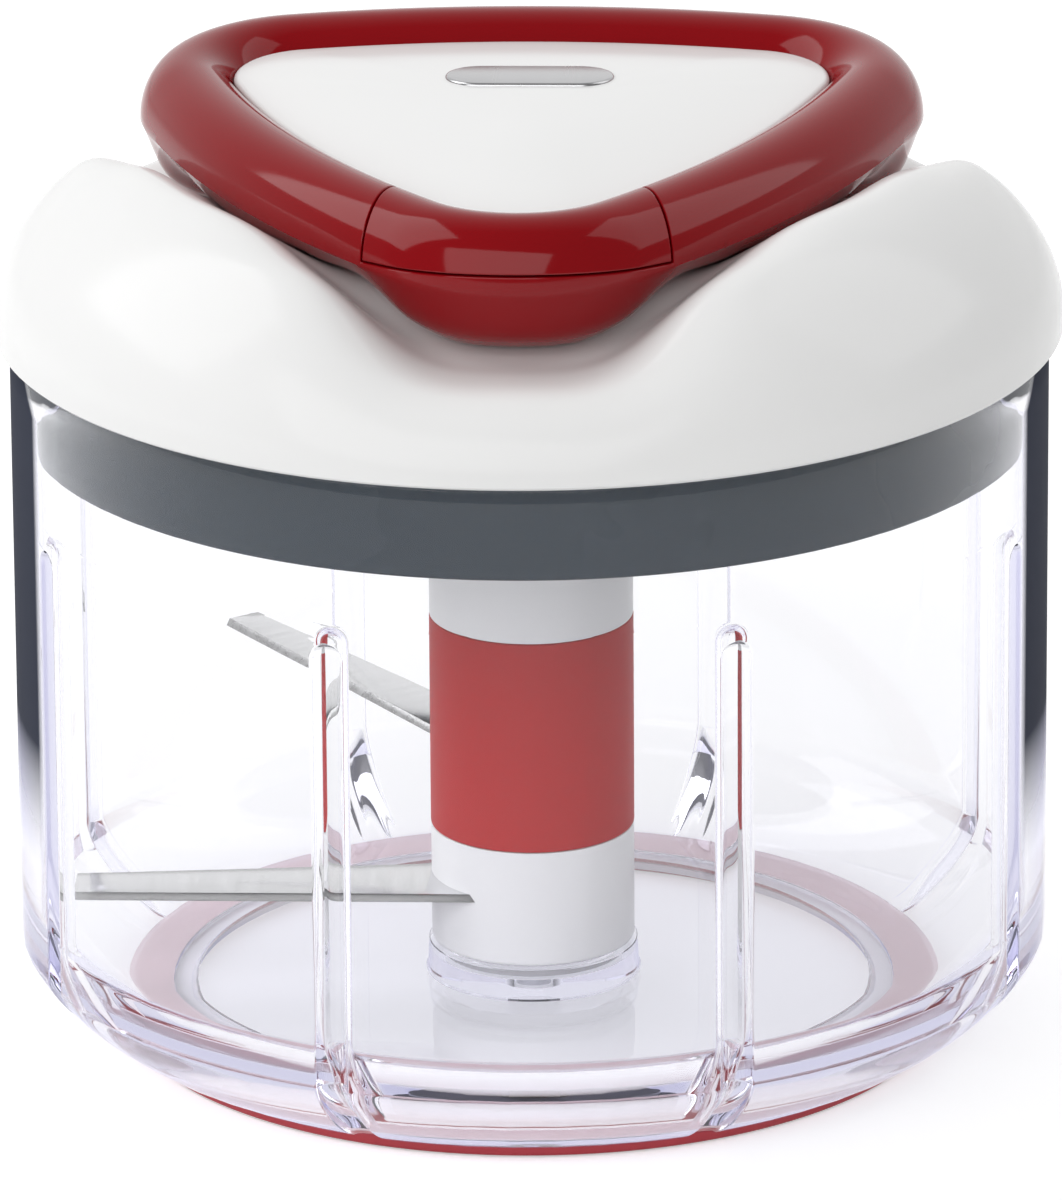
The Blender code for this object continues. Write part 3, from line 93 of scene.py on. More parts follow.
def merged_and_outward(name, merge=0.000004):
    """Merge what meets on the active piece, point its faces outward and shade it."""
    bpy.ops.object.mode_set(mode="EDIT")
    bpy.ops.mesh.select_all(action="SELECT")
    bpy.ops.mesh.remove_doubles(threshold=merge)
    bpy.ops.mesh.dissolve_degenerate(threshold=merge / 4.0)
    bpy.ops.mesh.select_all(action="SELECT")
    bpy.ops.mesh.normals_make_consistent(inside=False)
    bpy.ops.object.mode_set(mode="OBJECT")
    piece = bpy.context.active_object
    piece.name = name
    piece.data.name = name
    bpy.ops.object.shade_smooth_by_angle(angle=radians(38.0))
    return piece


def rolled_sheet(name, columns, rows, place):
    """A flat grid rolled to shape: each point goes where place(column, row) says."""
    bpy.ops.object.select_all(action="DESELECT")
    bpy.ops.mesh.primitive_grid_add(x_subdivisions=columns, y_subdivisions=rows, size=2.0)
    for point in bpy.context.active_object.data.vertices:
        column = round((point.co.x + 1.0) / 2.0 * columns)
        row = round((point.co.y + 1.0) / 2.0 * rows)
        point.co = place(column, row)
    return merged_and_outward(name)


def corner_curve(radius, width, height, bottom):
    """The soft bottom corner of the bowl, from its wall down to its floor."""
    points = []
    for step in range(CORNER_STEPS + 1):
        turn = pi / 2.0 * step / CORNER_STEPS
        across = max(cos(turn), 0.0) ** (2.0 / CORNER_POWER)
        down = max(sin(turn), 0.0) ** (2.0 / CORNER_POWER)
        points.append((radius - width * (1.0 - across), bottom + height * (1.0 - down)))
    return points


def smooth(share):
    """A share from 0 to 1, eased at both ends."""
    share = min(max(share, 0.0), 1.0)
    return share * share * (3.0 - 2.0 * share)


def eased_section(radius, out, ease):
    """Half a flute's section as (across, depth) pairs from its middle to where it meets the wall."""
    reach = sqrt((radius + ease) ** 2 - (ease + out) ** 2)
    meet = atan2(reach, ease + out)
    turns = [meet * step / 7.0 for step in range(8)]
    pairs = [(radius * sin(turn), radius * cos(turn) - out) for turn in turns]
    for step in range(1, 6):
        turn = meet * (1.0 - step / 5.0)
        pairs.append((reach - ease * sin(turn), ease - ease * cos(turn)))
    return pairs


def section_at(pairs, across):
    """Depth of a flute at a distance from its middle."""
    for (near, deep), (far, shallow) in zip(pairs, pairs[1:]):
        if near <= across <= far:
            return deep + (shallow - deep) * (across - near) / (far - near)
    return 0.0


def plain_rows(points):
    """Rows of the bowl's outline that the flutes don't cross."""
    return [(radius, height, None, 0.0, 0.0) for radius, height in points]


def corner_rows(points, section, top):
    """Rows round the bottom corner, where a flute fades out towards the floor."""
    return [(*point, section, top, smooth((FADE_LAST_STEP - step) / FADE_STEPS))
            for step, point in enumerate(points)]


def wall_rows(radius, start_z, section, top):
    """Rows up the wall along a flute, closer together round its top."""
    reach = section[-1][0]
    straight_z = top - reach
    heights = [start_z + (straight_z - start_z) * step / 20.0 for step in range(1, 21)]
    heights += [straight_z + reach * sin(pi / 2.0 * step / 12.0) for step in range(1, 12)]
    return [(radius, height, section, top, 1.0) for height in heights]


groove_section = eased_section(GROOVE_RADIUS, GROOVE_OUT, GROOVE_EASE)
ridge_section = eased_section(RIDGE_RADIUS, RIDGE_OUT, RIDGE_EASE)
inner_wall = BOWL_RADIUS - BOWL_WALL
inner_corner = corner_curve(inner_wall, *INNER_CORNER, FLOOR_TOP_Z)
outer_corner = corner_curve(BOWL_RADIUS, *OUTER_CORNER, UNDERSIDE_Z)
seat_inner = SEAT_RADIUS - SEAT_WALL

# Rows of the bowl's outline from the middle of its floor, up inside, over the rim and back under
# it: radius, height, flute section or none, height of the flute's top, share of its depth.
bowl_rows = plain_rows((
    (0.0, PIN_HOLE_FLOOR_Z), (PIN_HOLE_RADIUS, PIN_HOLE_FLOOR_Z),
    (PIN_HOLE_RADIUS, SEAT_FLOOR_Z - SOFT), (PIN_HOLE_RADIUS + SOFT, SEAT_FLOOR_Z),
    (seat_inner - SOFT, SEAT_FLOOR_Z), (seat_inner, SEAT_FLOOR_Z + SOFT),
    (seat_inner, SEAT_TOP_Z - SOFT), (seat_inner + SOFT, SEAT_TOP_Z),
    (SEAT_RADIUS - SOFT, SEAT_TOP_Z), (SEAT_RADIUS, SEAT_TOP_Z - SOFT),
    (SEAT_RADIUS + 2.0 * SOFT, FLOOR_TOP_Z + 2.0 * SOFT), (SEAT_RADIUS + 4.0 * SOFT, FLOOR_TOP_Z),
    (0.0200, FLOOR_TOP_Z), (0.0300, FLOOR_TOP_Z), (0.0400, FLOOR_TOP_Z), (0.0470, FLOOR_TOP_Z)))
bowl_rows += corner_rows(inner_corner, ridge_section, RIDGE_TOP_Z)[::-1]
bowl_rows += wall_rows(inner_wall, inner_corner[0][1], ridge_section, RIDGE_TOP_Z)
bowl_rows += plain_rows((inner_wall, height) for height in (
    RIDGE_TOP_Z + 0.0002, RIDGE_TOP_Z + 0.0005, *UPPER_WALL, BOWL_HEIGHT - 0.0006))
for step in range(9):
    turn = pi * step / 8.0
    bowl_rows += plain_rows([(BOWL_RADIUS - BOWL_WALL / 2.0 - BOWL_WALL / 2.0 * cos(turn),
                              BOWL_HEIGHT - RIM_RISE + RIM_RISE * sin(turn))])
bowl_rows += plain_rows((BOWL_RADIUS, height) for height in (
    *UPPER_WALL[::-1], FLUTE_TOP_Z + 0.0005, FLUTE_TOP_Z + 0.0002))
bowl_rows += wall_rows(BOWL_RADIUS, outer_corner[0][1], groove_section, FLUTE_TOP_Z)[::-1]
bowl_rows += [row for row in corner_rows(outer_corner, groove_section, FLUTE_TOP_Z)
              if row[0] > FOOT_GROOVE_RADIUS + GAP]
rib_z = bowl_rows[-1][1]
rib_outer = FOOT_GROOVE_RADIUS - FOOT_GROOVE_WIDTH
rib_inner = rib_outer - RIB_WIDTH
bowl_rows += plain_rows((
    (FOOT_GROOVE_RADIUS, rib_z), (FOOT_GROOVE_RADIUS, FLOOR_UNDER_Z), (rib_outer, FLOOR_UNDER_Z),
    (rib_outer, rib_z + 2.0 * SOFT), (rib_outer - 2.0 * SOFT, rib_z), (rib_inner + 2.0 * SOFT, rib_z),
    (rib_inner, rib_z + 2.0 * SOFT), (rib_inner - RIB_DRAFT, FLOOR_UNDER_Z),
    (0.0300, FLOOR_UNDER_Z), (0.0150, FLOOR_UNDER_Z), (0.0, FLOOR_UNDER_Z)))


def bowl_point(column, row):
    """A point of the bowl, with its flutes pressed in and their round tops followed."""
    radius, height, section, top, fade = bowl_rows[row]
    per_flute = FLUTE_COLUMNS + PLAIN_COLUMNS
    flute, place = divmod(column % (FLUTES * per_flute), per_flute)
    middle = radians(FIRST_FLUTE + 360.0 / FLUTES * flute)
    pairs = section or groove_section
    reach = pairs[-1][0]
    measured_at = max(radius, NARROWING_RADIUS)
    edge = reach / measured_at
    if place > FLUTE_COLUMNS:
        share = smooth(smooth((place - FLUTE_COLUMNS) / PLAIN_COLUMNS))
        turn = middle + edge + (radians(360.0 / FLUTES) - 2.0 * edge) * share
        return (radius * cos(turn), radius * sin(turn), height)
    across_flat, _ = pairs[abs(place - FLUTE_COLUMNS // 2)]
    side = 1.0 if place > FLUTE_COLUMNS // 2 else -1.0
    if section is None:
        turn = middle + side * across_flat / measured_at
        return (radius * cos(turn), radius * sin(turn), height)
    rise = max(0.0, height - (top - reach))
    distance = rise + (reach - rise) * across_flat / reach
    across = max(sqrt(max(distance ** 2 - rise ** 2, 0.0)), across_flat * LEAST_SPREAD)
    depth = section_at(pairs, distance) * fade
    before = bowl_rows[max(row - 1, 0)]
    after = bowl_rows[min(row + 1, len(bowl_rows) - 1)]
    along = Vector((after[0] - before[0], after[1] - before[1])).normalized()
    inward = Vector((-along.y, along.x))
    if inward.x > 0.0:
        inward = -inward
    moved = Vector((radius, height)) + inward * depth
    turn = middle + side * across / measured_at
    return (moved.x * cos(turn), moved.x * sin(turn), moved.y)


clear_bowl = rolled_sheet("clear_bowl", FLUTES * (FLUTE_COLUMNS + PLAIN_COLUMNS), len(bowl_rows) - 1,
                          bowl_point)


def set_inputs(material, node, inputs):
    """Give the inputs of a node their values or links."""
    for name, value in inputs.items():
        if isinstance(value, bpy.types.NodeSocket):
            material.node_tree.links.new(value, node.inputs[name])
        else:
            node.inputs[name].default_value = value


def add_node(material, kind, inputs, **settings):
    """One shader node of a material or the world, with its settings and inputs."""
    made = material.node_tree.nodes.new("ShaderNode" + kind)
    for name, value in settings.items():
        setattr(made, name, value)
    set_inputs(material, made, inputs)
    return made


def bare_finish(name):
    """A new material with its Principled shader, and the place on the piece to paint by."""
    material = bpy.data.materials.new(name)
    material.use_nodes = True
    shader = material.node_tree.nodes["Principled BSDF"]
    place = add_node(material, "TexCoord", {}).outputs["Object"]
    return material, shader, place


def noise(material, place, scale, detail):
    """A soft noise over a place."""
    made = add_node(material, "TexNoise", {"Vector": place, "Scale": scale, "Detail": detail})
    return made.outputs["Fac"]


def ramp(material, fac, stops):
    """A colour ramp through (position, colour) stops."""
    made = add_node(material, "ValToRGB", {"Fac": fac})
    elements = made.color_ramp.elements
    elements[0].position, elements[0].color = stops[0][0], (*stops[0][1], 1.0)
    elements[1].position, elements[1].color = stops[-1][0], (*stops[-1][1], 1.0)
    for position, colour in stops[1:-1]:
        elements.new(position).color = (*colour, 1.0)
    return made.outputs["Color"]


def scaled(material, value, low, high, from_low=0.0, from_high=1.0):
    """A value carried from one range to another."""
    made = add_node(material, "MapRange", {"Value": value, "From Min": from_low,
                    "From Max": from_high, "To Min": low, "To Max": high})
    return made.outputs["Result"]


def combined(material, operation, first, *others, **settings):
    """Values taken together one after another by the same sum."""
    for other in others:
        first = add_node(material, "Math", {0: first, 1: other}, operation=operation,
                         **settings).outputs[0]
    return first


clear_plastic, shader, place = bare_finish("clear_violet_plastic")
facing = add_node(clear_plastic, "LayerWeight", {"Blend": 0.5}).outputs["Facing"]
inside = add_node(clear_plastic, "NewGeometry", {}).outputs["Backfacing"]
spot_z = add_node(clear_plastic, "SeparateXYZ", {"Vector": place}).outputs["Z"]
level = add_node(clear_plastic, "VectorMath", {0: place, 1: (1.0, 1.0, 0.0)}, operation="MULTIPLY")
from_axis = add_node(clear_plastic, "VectorMath", {0: level.outputs[0]},
                     operation="LENGTH").outputs["Value"]


def zone(*sides):
    """A part of the plastic: each side says how its value rises or falls between two limits."""
    return combined(clear_plastic, "MULTIPLY", *(scaled(clear_plastic, *side) for side in sides))


# The wall is painted dark navy and nearly opaque where its outer face is seen edge-on above the
# corner: painted shade and reflection in place of the dark surround that such edges show. The
# groove over the foot ring is pink and a little clouded, and the rib beside it is clouded.
painted_edge_shade = zone((from_axis, 0.0, 1.0, 0.0626, 0.0630), (spot_z, 0.0, 1.0, 0.026, 0.042),
                 (facing, 0.0, 1.0, 0.70, 0.74), (inside, 1.0, 0.0))
groove = zone((from_axis, 1.0, 0.0, 0.0510, 0.0514), (from_axis, 0.0, 1.0, 0.0442, 0.0446),
              (spot_z, 1.0, 0.0, 0.0033, 0.0036), (spot_z, 0.0, 0.75, 0.0026, 0.0030))
rib = zone((from_axis, 1.0, 0.0, 0.0448, 0.0450), (from_axis, 0.0, 1.0, 0.0410, 0.0414),
           (spot_z, 0.85, 0.0, 0.0024, 0.0028))
clouded = combined(clear_plastic, "MAXIMUM", painted_edge_shade, groove, rib)

violet = ramp(clear_plastic, facing, ((0.70, (0.960, 0.962, 0.968)), (0.90, (0.50, 0.49, 0.80))))
# The painted shade of the edge-on wall: dark navy mixed over the violet tint.
tint = add_node(clear_plastic, "Mix", {"Factor": painted_edge_shade, "A": violet,
                "B": (0.035, 0.040, 0.060, 1.0)}, data_type="RGBA")
tint = add_node(clear_plastic, "Mix", {"Factor": groove, "A": tint.outputs[2],
                "B": (0.90, 0.72, 0.75, 1.0)}, data_type="RGBA")
flow = noise(clear_plastic, place, 60.0, 2.0)
set_inputs(clear_plastic, shader, {
    "Base Color": tint.outputs[2], "Roughness": scaled(clear_plastic, flow, 0.0, 0.010),
    "Transmission Weight": scaled(clear_plastic, clouded, 1.0, 0.05), "IOR": 1.38,
    "Specular IOR Level": 0.0})

# Light from the lamps, and light that has crossed the plastic many times, goes straight through.
path = add_node(clear_plastic, "LightPath", {})
trapped = combined(clear_plastic, "GREATER_THAN", path.outputs["Ray Depth"], 4.5)
straight = combined(clear_plastic, "MAXIMUM", path.outputs["Is Shadow Ray"], trapped)
let_through = add_node(clear_plastic, "BsdfTransparent", {"Color": (0.94, 0.94, 0.965, 1.0)})
both = add_node(clear_plastic, "MixShader", {0: straight, 1: shader.outputs[0],
                2: let_through.outputs[0]})
depth_tint = add_node(clear_plastic, "VolumeAbsorption", {"Color": (0.50, 0.48, 0.80, 1.0),
                      "Density": 8.0})
set_inputs(clear_plastic, clear_plastic.node_tree.nodes["Material Output"],
           {"Surface": both.outputs[0], "Volume": depth_tint.outputs[0]})
clear_bowl.data.materials.append(clear_plastic)
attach(clear_bowl, "bowl_unit")
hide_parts("bowl")

# Soft foot ring
# A ring of soft red rubber, pressed into the groove under the bowl, that keeps it from slipping.
# Its two lower edges are rounded, and it stands a hair below the plastic.


def mix(a, b, share):
    """The value at a share of the way from one value to another."""
    return a + (b - a) * share


def eased(corners, steps=4):
    """An outline through (radius, height, rounding) corners, with the rounded ones eased."""
    outline = []
    count = len(corners)
    for number, (radius, height, rounding) in enumerate(corners):
        here = Vector((radius, height))
        if rounding <= 0.0:
            outline.append(here)
            continue
        before = Vector(corners[(number - 1) % count][:2])
        after = Vector(corners[(number + 1) % count][:2])
        start = here + (before - here).normalized() * rounding
        end = here + (after - here).normalized() * rounding
        for step in range(steps + 1):
            share = step / steps
            outline.append(start.lerp(here, share).lerp(here.lerp(end, share), share))
    return outline


def turned_piece(name, corners, steps=96, ring=True):
    """A piece turned on the middle axis: its outline is extruded point by point, then spun."""
    outline = eased(corners)
    if ring:
        outline.append(outline[0])
    bpy.ops.object.select_all(action="DESELECT")
    bpy.ops.mesh.primitive_plane_add(size=0.001)
    bpy.ops.object.mode_set(mode="EDIT")
    bpy.ops.mesh.select_all(action="SELECT")
    bpy.ops.mesh.merge(type="CENTER")
    bpy.ops.transform.translate(value=(outline[0].x, 0.0, outline[0].y))
    for before, here in zip(outline, outline[1:]):
        move = (here.x - before.x, 0.0, here.y - before.y)
        bpy.ops.mesh.extrude_region_move(TRANSFORM_OT_translate={"value": move})
    bpy.ops.mesh.select_all(action="SELECT")
    bpy.ops.mesh.spin(steps=steps, angle=2.0 * pi, center=(0.0, 0.0, 0.0), axis=(0.0, 0.0, 1.0))
    bpy.ops.object.mode_set(mode="OBJECT")
    return merged_and_outward(name, 0.00001)


def moulded_finish(name, colour, shade, rough, cloud=30.0, grain=2600.0, bump=0.02, gloss=0.5):
    """A moulded plastic or rubber: its colour and gloss cloud a little, with a fine grain."""
    material, shader, place = bare_finish(name)
    cloudy = noise(material, place, cloud, 3.0)
    fine = noise(material, place, grain, 2.0)
    relief = add_node(material, "Bump", {"Height": fine, "Strength": bump, "Distance": 0.0001})
    set_inputs(material, shader, {
        "Base Color": ramp(material, cloudy, ((0.35, shade), (0.65, colour))),
        "Roughness": scaled(material, cloudy, *rough, 0.3, 0.7), "Normal": relief.outputs["Normal"],
        "IOR": 1.5, "Specular IOR Level": gloss})
    return material


foot_outer = FOOT_GROOVE_RADIUS - GAP
foot_inner = rib_outer + GAP
foot_ring = turned_piece("soft_foot_ring", (
    (foot_outer, FLOOR_UNDER_Z - GAP, 0.0003), (foot_outer, 0.0, 0.0005),
    (foot_inner, 0.0, 0.0009), (foot_inner, FLOOR_UNDER_Z - GAP, 0.0003)), 144)
foot_ring.data.materials.append(moulded_finish(
    "soft_red_rubber", (0.42, 0.035, 0.045), (0.36, 0.025, 0.035), (0.48, 0.60), grain=1800.0, bump=0.08))
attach(foot_ring, "bowl_unit")
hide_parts("base_ring")

# Pin and washer
# A steel pin, pressed into the bowl's floor, carries the blade column. The pale washer round it is
# a loose disc of natural nylon that the column's foot runs on.

PIN_RADIUS = 0.0022
PIN_TOP_Z = 0.0260
PIN_BOTTOM_Z = 0.0047
WASHER_RADIUS = 0.0109
WASHER_BORE = 0.0030
WASHER_TOP_Z = 0.0097
WASHER_BOTTOM_Z = 0.0083


def steel_finish(name, bright, dark, rough, streak, turn=0.0, run="X"):
    """Ground or turned steel, with fine streaks along one direction."""
    material, shader, place = bare_finish(name)
    stretch = {"X": (1.0, streak, streak), "Y": (streak, 1.0, streak), "Z": (streak, streak, 1.0)}[run]
    turned = add_node(material, "Mapping", {"Vector": place, "Rotation": (0.0, 0.0, -radians(turn))})
    laid = add_node(material, "Mapping", {"Vector": turned.outputs["Vector"], "Scale": stretch})
    lines = noise(material, laid.outputs["Vector"], 60.0, 4.0)
    relief = add_node(material, "Bump", {"Height": lines, "Strength": 0.02, "Distance": 0.00002})
    set_inputs(material, shader, {
        "Base Color": ramp(material, lines, ((0.3, dark), (0.7, bright))),
        "Roughness": scaled(material, lines, *rough, 0.3, 0.7), "Normal": relief.outputs["Normal"],
        "Metallic": 1.0})
    return material


turned_steel = steel_finish("turned_steel", (0.70, 0.70, 0.71), (0.52, 0.52, 0.54), (0.16, 0.28),
                            0.08, run="Z")
natural_nylon = moulded_finish("natural_nylon", (0.78, 0.77, 0.74), (0.74, 0.73, 0.70), (0.35, 0.45))
pin = turned_piece("centre_pin_turned", (
    (0.0, PIN_TOP_Z, 0.0), (PIN_RADIUS, PIN_TOP_Z, 0.0009), (PIN_RADIUS, PIN_BOTTOM_Z, 0.0),
    (0.0, PIN_BOTTOM_Z, 0.0)), 48, ring=False)
pin.data.materials.append(turned_steel)
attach(pin, "bowl_unit")
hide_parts("centre_pin")

washer = turned_piece("running_washer", (
    (WASHER_RADIUS, WASHER_TOP_Z, 0.0002), (WASHER_RADIUS, WASHER_BOTTOM_Z, 0.0002),
    (WASHER_BORE, WASHER_BOTTOM_Z, 0.0002), (WASHER_BORE, WASHER_TOP_Z, 0.0002)), 72)
washer.data.materials.append(natural_nylon)
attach(washer, "hub_foot")
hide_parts("foot_washer")

# Blade column
# A hollow column of satin white plastic, moulded round the roots of the two blades, with a matte
# red band let into its middle. A slate hexagon socket in its top takes the drive of the lid.

COLUMN_RADIUS = 0.01254
COLUMN_BOTTOM_Z = 0.0100
COLUMN_TOP_Z = 0.0785
BAND_TOP_Z = 0.0520
BAND_BOTTOM_Z = 0.0250
BAND_SEAT_DEPTH = 0.0009
BAND_RELIEF = 0.00003
SOCKET_SEAT_RADIUS = 0.0074
SOCKET_SEAT_Z = 0.0660
PIN_BORE_RADIUS = 0.0026
PIN_BORE_TOP_Z = 0.0265
HEXAGON_RADIUS = 0.00535
HEXAGON_FLOOR = 0.0020

seat_radius = COLUMN_RADIUS - BAND_SEAT_DEPTH
column = turned_piece("white_column", (
    (0.0, SOCKET_SEAT_Z, 0.0), (SOCKET_SEAT_RADIUS, SOCKET_SEAT_Z, 0.0),
    (SOCKET_SEAT_RADIUS, COLUMN_TOP_Z, 0.0003), (COLUMN_RADIUS, COLUMN_TOP_Z, 0.0006),
    (COLUMN_RADIUS, BAND_TOP_Z + SOFT, 0.00012), (seat_radius, BAND_TOP_Z + SOFT, 0.0),
    (seat_radius, BAND_BOTTOM_Z - SOFT, 0.0), (COLUMN_RADIUS, BAND_BOTTOM_Z - SOFT, 0.00012),
    (COLUMN_RADIUS, COLUMN_BOTTOM_Z, 0.0006), (PIN_BORE_RADIUS, COLUMN_BOTTOM_Z, 0.0003),
    (PIN_BORE_RADIUS, PIN_BORE_TOP_Z, 0.0), (0.0, PIN_BORE_TOP_Z, 0.0)), 128, ring=False)
white_satin = moulded_finish("satin_white_plastic", (0.87, 0.87, 0.87), (0.84, 0.84, 0.845),
                             (0.30, 0.42), grain=1500.0, bump=0.01)
column.data.materials.append(white_satin)
band = turned_piece("red_band", (
    (COLUMN_RADIUS + BAND_RELIEF, BAND_TOP_Z, 0.0002),
    (COLUMN_RADIUS + BAND_RELIEF, BAND_BOTTOM_Z, 0.0002),
    (seat_radius + SOFT, BAND_BOTTOM_Z, 0.0), (seat_radius + SOFT, BAND_TOP_Z, 0.0)), 128)
band.data.materials.append(moulded_finish("matte_red_band", (0.50, 0.018, 0.020), (0.46, 0.015, 0.017),
                                          (0.42, 0.52), grain=1500.0, bump=0.02, gloss=0.1))
slate = moulded_finish("slate_plastic", (0.018, 0.031, 0.046), (0.015, 0.027, 0.041), (0.24, 0.34),
                       grain=1800.0, bump=0.002, gloss=0.2)


def bevelled(piece, width, angle, segments=2):
    """Ease the edges of a piece that are sharper than an angle, and leave the piece active."""
    bpy.ops.object.select_all(action="DESELECT")
    piece.select_set(True)
    bpy.context.view_layer.objects.active = piece
    bpy.ops.object.modifier_add(type="BEVEL")
    bevel = piece.modifiers[-1]
    bevel.width = width
    bevel.segments = segments
    bevel.angle_limit = radians(angle)
    bpy.ops.object.modifier_apply(modifier=bevel.name)


def hexagon_hole(name, radius, bottom, top, bore):
    """A round plug with a hexagon hole sunk in its top, its edges eased."""
    middle = (top + bottom) / 2.0
    bpy.ops.object.select_all(action="DESELECT")
    bpy.ops.mesh.primitive_cylinder_add(vertices=72, radius=radius, depth=top - bottom,
                                        location=(0.0, 0.0, middle))
    plug = bpy.context.active_object
    bpy.ops.object.transform_apply(location=True)
    bpy.ops.object.select_all(action="DESELECT")
    bpy.ops.mesh.primitive_cylinder_add(vertices=6, radius=bore, depth=top - bottom,
                                        location=(0.0, 0.0, middle + HEXAGON_FLOOR))
    drill = bpy.context.active_object
    bpy.context.view_layer.objects.active = plug
    drill.select_set(False)
    plug.select_set(True)
    bpy.ops.object.modifier_add(type="BOOLEAN")
    plug.modifiers[-1].object = drill
    plug.modifiers[-1].operation = "DIFFERENCE"
    bpy.ops.object.modifier_apply(modifier=plug.modifiers[-1].name)
    bpy.data.objects.remove(drill, do_unlink=True)
    bevelled(plug, 0.0003, 45.0)
    return merged_and_outward(name, 0.000001)


socket = hexagon_hole("hexagon_drive_socket", SOCKET_SEAT_RADIUS - GAP, SOCKET_SEAT_Z + GAP, COLUMN_TOP_Z,
                      HEXAGON_RADIUS)
socket.data.materials.append(slate)
for piece, node, finish in (
        (column, "hub_column", "white_plastic"), (band, "hub_sleeve", "red_band_plastic"),
        (socket, "drive_socket", "slate_plastic")):
    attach(piece, "blade_hub")
    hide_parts(node)

# Two blades
# Each blade is a flat bar of thin stainless steel, drawn narrower towards its tip. Its leading side
# is ground at a slant, and its faces there get a darker steel colour: a painted dark reflection. The
# upper blade's tip droops a hair.

BLADE_THICKNESS = 0.0009
BLADE_BACK = 0.0020
BLADE_LEAD = 0.0104
BLADE_GRIND = 0.0005
BLADE_REACH = 0.0564
BLADE_ROOT = 0.0050
BLADE_BEND = 0.0220
BLADE_CUTS = 16
# The leading faces get a darker copy of the blade steel, a painted dark reflection: darkest on the lower
# blade, grey on the upper.
dark_painted_lead = steel_finish("painted_dark_blade_lead", (0.17, 0.17, 0.17), (0.10, 0.10, 0.10), (0.22, 0.34),
                           14.0)
grey_painted_lead = steel_finish("painted_grey_blade_lead", (0.42, 0.42, 0.42), (0.34, 0.34, 0.34), (0.22, 0.34),
                         14.0)


def ground_blade(name, height, turn, lift, back, lead, edge):
    """A flat bar drawn to the blade's taper, slanted along its lead, lifted at its tip and turned."""
    bpy.ops.object.select_all(action="DESELECT")
    bpy.ops.mesh.primitive_cube_add(
        size=1.0, location=((BLADE_ROOT + BLADE_REACH) / 2.0, (BLADE_LEAD - BLADE_BACK) / 2.0, height),
        scale=(BLADE_REACH - BLADE_ROOT, BLADE_LEAD + BLADE_BACK, BLADE_THICKNESS))
    bpy.ops.object.transform_apply(location=True, scale=True)
    bpy.ops.object.mode_set(mode="EDIT")
    for step in range(BLADE_CUTS):
        bpy.ops.mesh.select_all(action="SELECT")
        station = BLADE_BEND + (BLADE_REACH - BLADE_BEND) * step / BLADE_CUTS
        bpy.ops.mesh.bisect(plane_co=(station, 0.0, 0.0), plane_no=(1.0, 0.0, 0.0))
    bpy.ops.object.mode_set(mode="OBJECT")
    blade = bpy.context.active_object
    for point in blade.data.vertices:
        out = (point.co.x - BLADE_ROOT) / (BLADE_REACH - BLADE_ROOT)
        at_lead = point.co.y > 0.0
        point.co.y = mix(lead[0], lead[1], out) if at_lead else mix(back[0], back[1], out)
        if at_lead and point.co.z > height:
            point.co.y -= BLADE_GRIND
        past = max(0.0, (point.co.x - BLADE_BEND) / (BLADE_REACH - BLADE_BEND))
        point.co.z += lift * past ** 1.5
    bpy.ops.object.mode_set(mode="EDIT")
    bpy.ops.mesh.select_all(action="SELECT")
    bpy.ops.transform.rotate(value=-radians(turn), orient_axis="Z", center_override=(0.0, 0.0, 0.0))
    bpy.ops.object.mode_set(mode="OBJECT")
    bevelled(blade, 0.00006, 25.0)
    merged_and_outward(name, 0.000001)
    blade.data.materials.append(steel_finish(name + "_steel", (0.80, 0.80, 0.80), (0.72, 0.72, 0.72),
                                             (0.14, 0.22), 14.0, turn, "Y"))
    # The faces of the leading side take the darker steel, a painted reflection.
    blade.data.materials.append(edge)
    front = Vector((-sin(radians(turn)), cos(radians(turn)), 0.0))
    for face in blade.data.polygons:
        if face.normal.dot(front) > 0.5:
            face.material_index = 1
    return blade


# Name, node, height, turn, lift of the tip, back and lead at the root and tip, painted dark finish of the
# lead.
for name, node, height, turn, lift, back, lead, edge in (
        ("flat_lower_blade", "lower_blade", 0.0182, 181.9, 0.0, (-0.0016, 0.0014), (0.0104, 0.0085),
         dark_painted_lead),
        ("bent_upper_blade", "upper_blade", 0.0364, 123.6, -0.0003, (0.0022, 0.0064), (0.0104, 0.0110),
         grey_painted_lead)):
    blade = ground_blade(name, height, turn, lift, back, lead, edge)
    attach(blade, "blade_hub")
    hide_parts(node)

# Collar and lid floor
# The slate collar is one moulding with the floor of the lid. It plugs the mouth of the bowl, its
# flange rests on the rim, and three screws go up through its floor into the cover.

LID_EDGE_Z = 0.0893
FLANGE_RADIUS = 0.0624
FLANGE_TOP_Z = 0.0912
COLLAR_RADIUS = 0.0604
COLLAR_WALL = 0.0023
COLLAR_BOTTOM_Z = 0.0768
LID_FLOOR_Z = 0.0800
LID_FLOOR_TOP_Z = 0.0820
SHAFT_HOLE_RADIUS = 0.0072

collar_inner = COLLAR_RADIUS - COLLAR_WALL
collar = turned_piece("slate_collar", (
    (FLANGE_RADIUS, FLANGE_TOP_Z, 0.0002), (FLANGE_RADIUS, LID_EDGE_Z, 0.0002),
    (COLLAR_RADIUS, LID_EDGE_Z, 0.0), (COLLAR_RADIUS, COLLAR_BOTTOM_Z, 0.0005),
    (collar_inner, COLLAR_BOTTOM_Z, 0.0005), (collar_inner, LID_FLOOR_Z, 0.0004),
    (SHAFT_HOLE_RADIUS, LID_FLOOR_Z, 0.0), (SHAFT_HOLE_RADIUS, LID_FLOOR_TOP_Z, 0.0),
    (collar_inner, LID_FLOOR_TOP_Z, 0.0), (collar_inner, FLANGE_TOP_Z, 0.0002)), 192)
collar.data.materials.append(slate)
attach(collar, "lid_unit")
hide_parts("lid_collar")

# Lid cover
# The cover is one thin moulding in gloss white: three broad lobes with three valleys between them
# that the corners of the finger ring run down. It carries the ring and the cap round its opening.

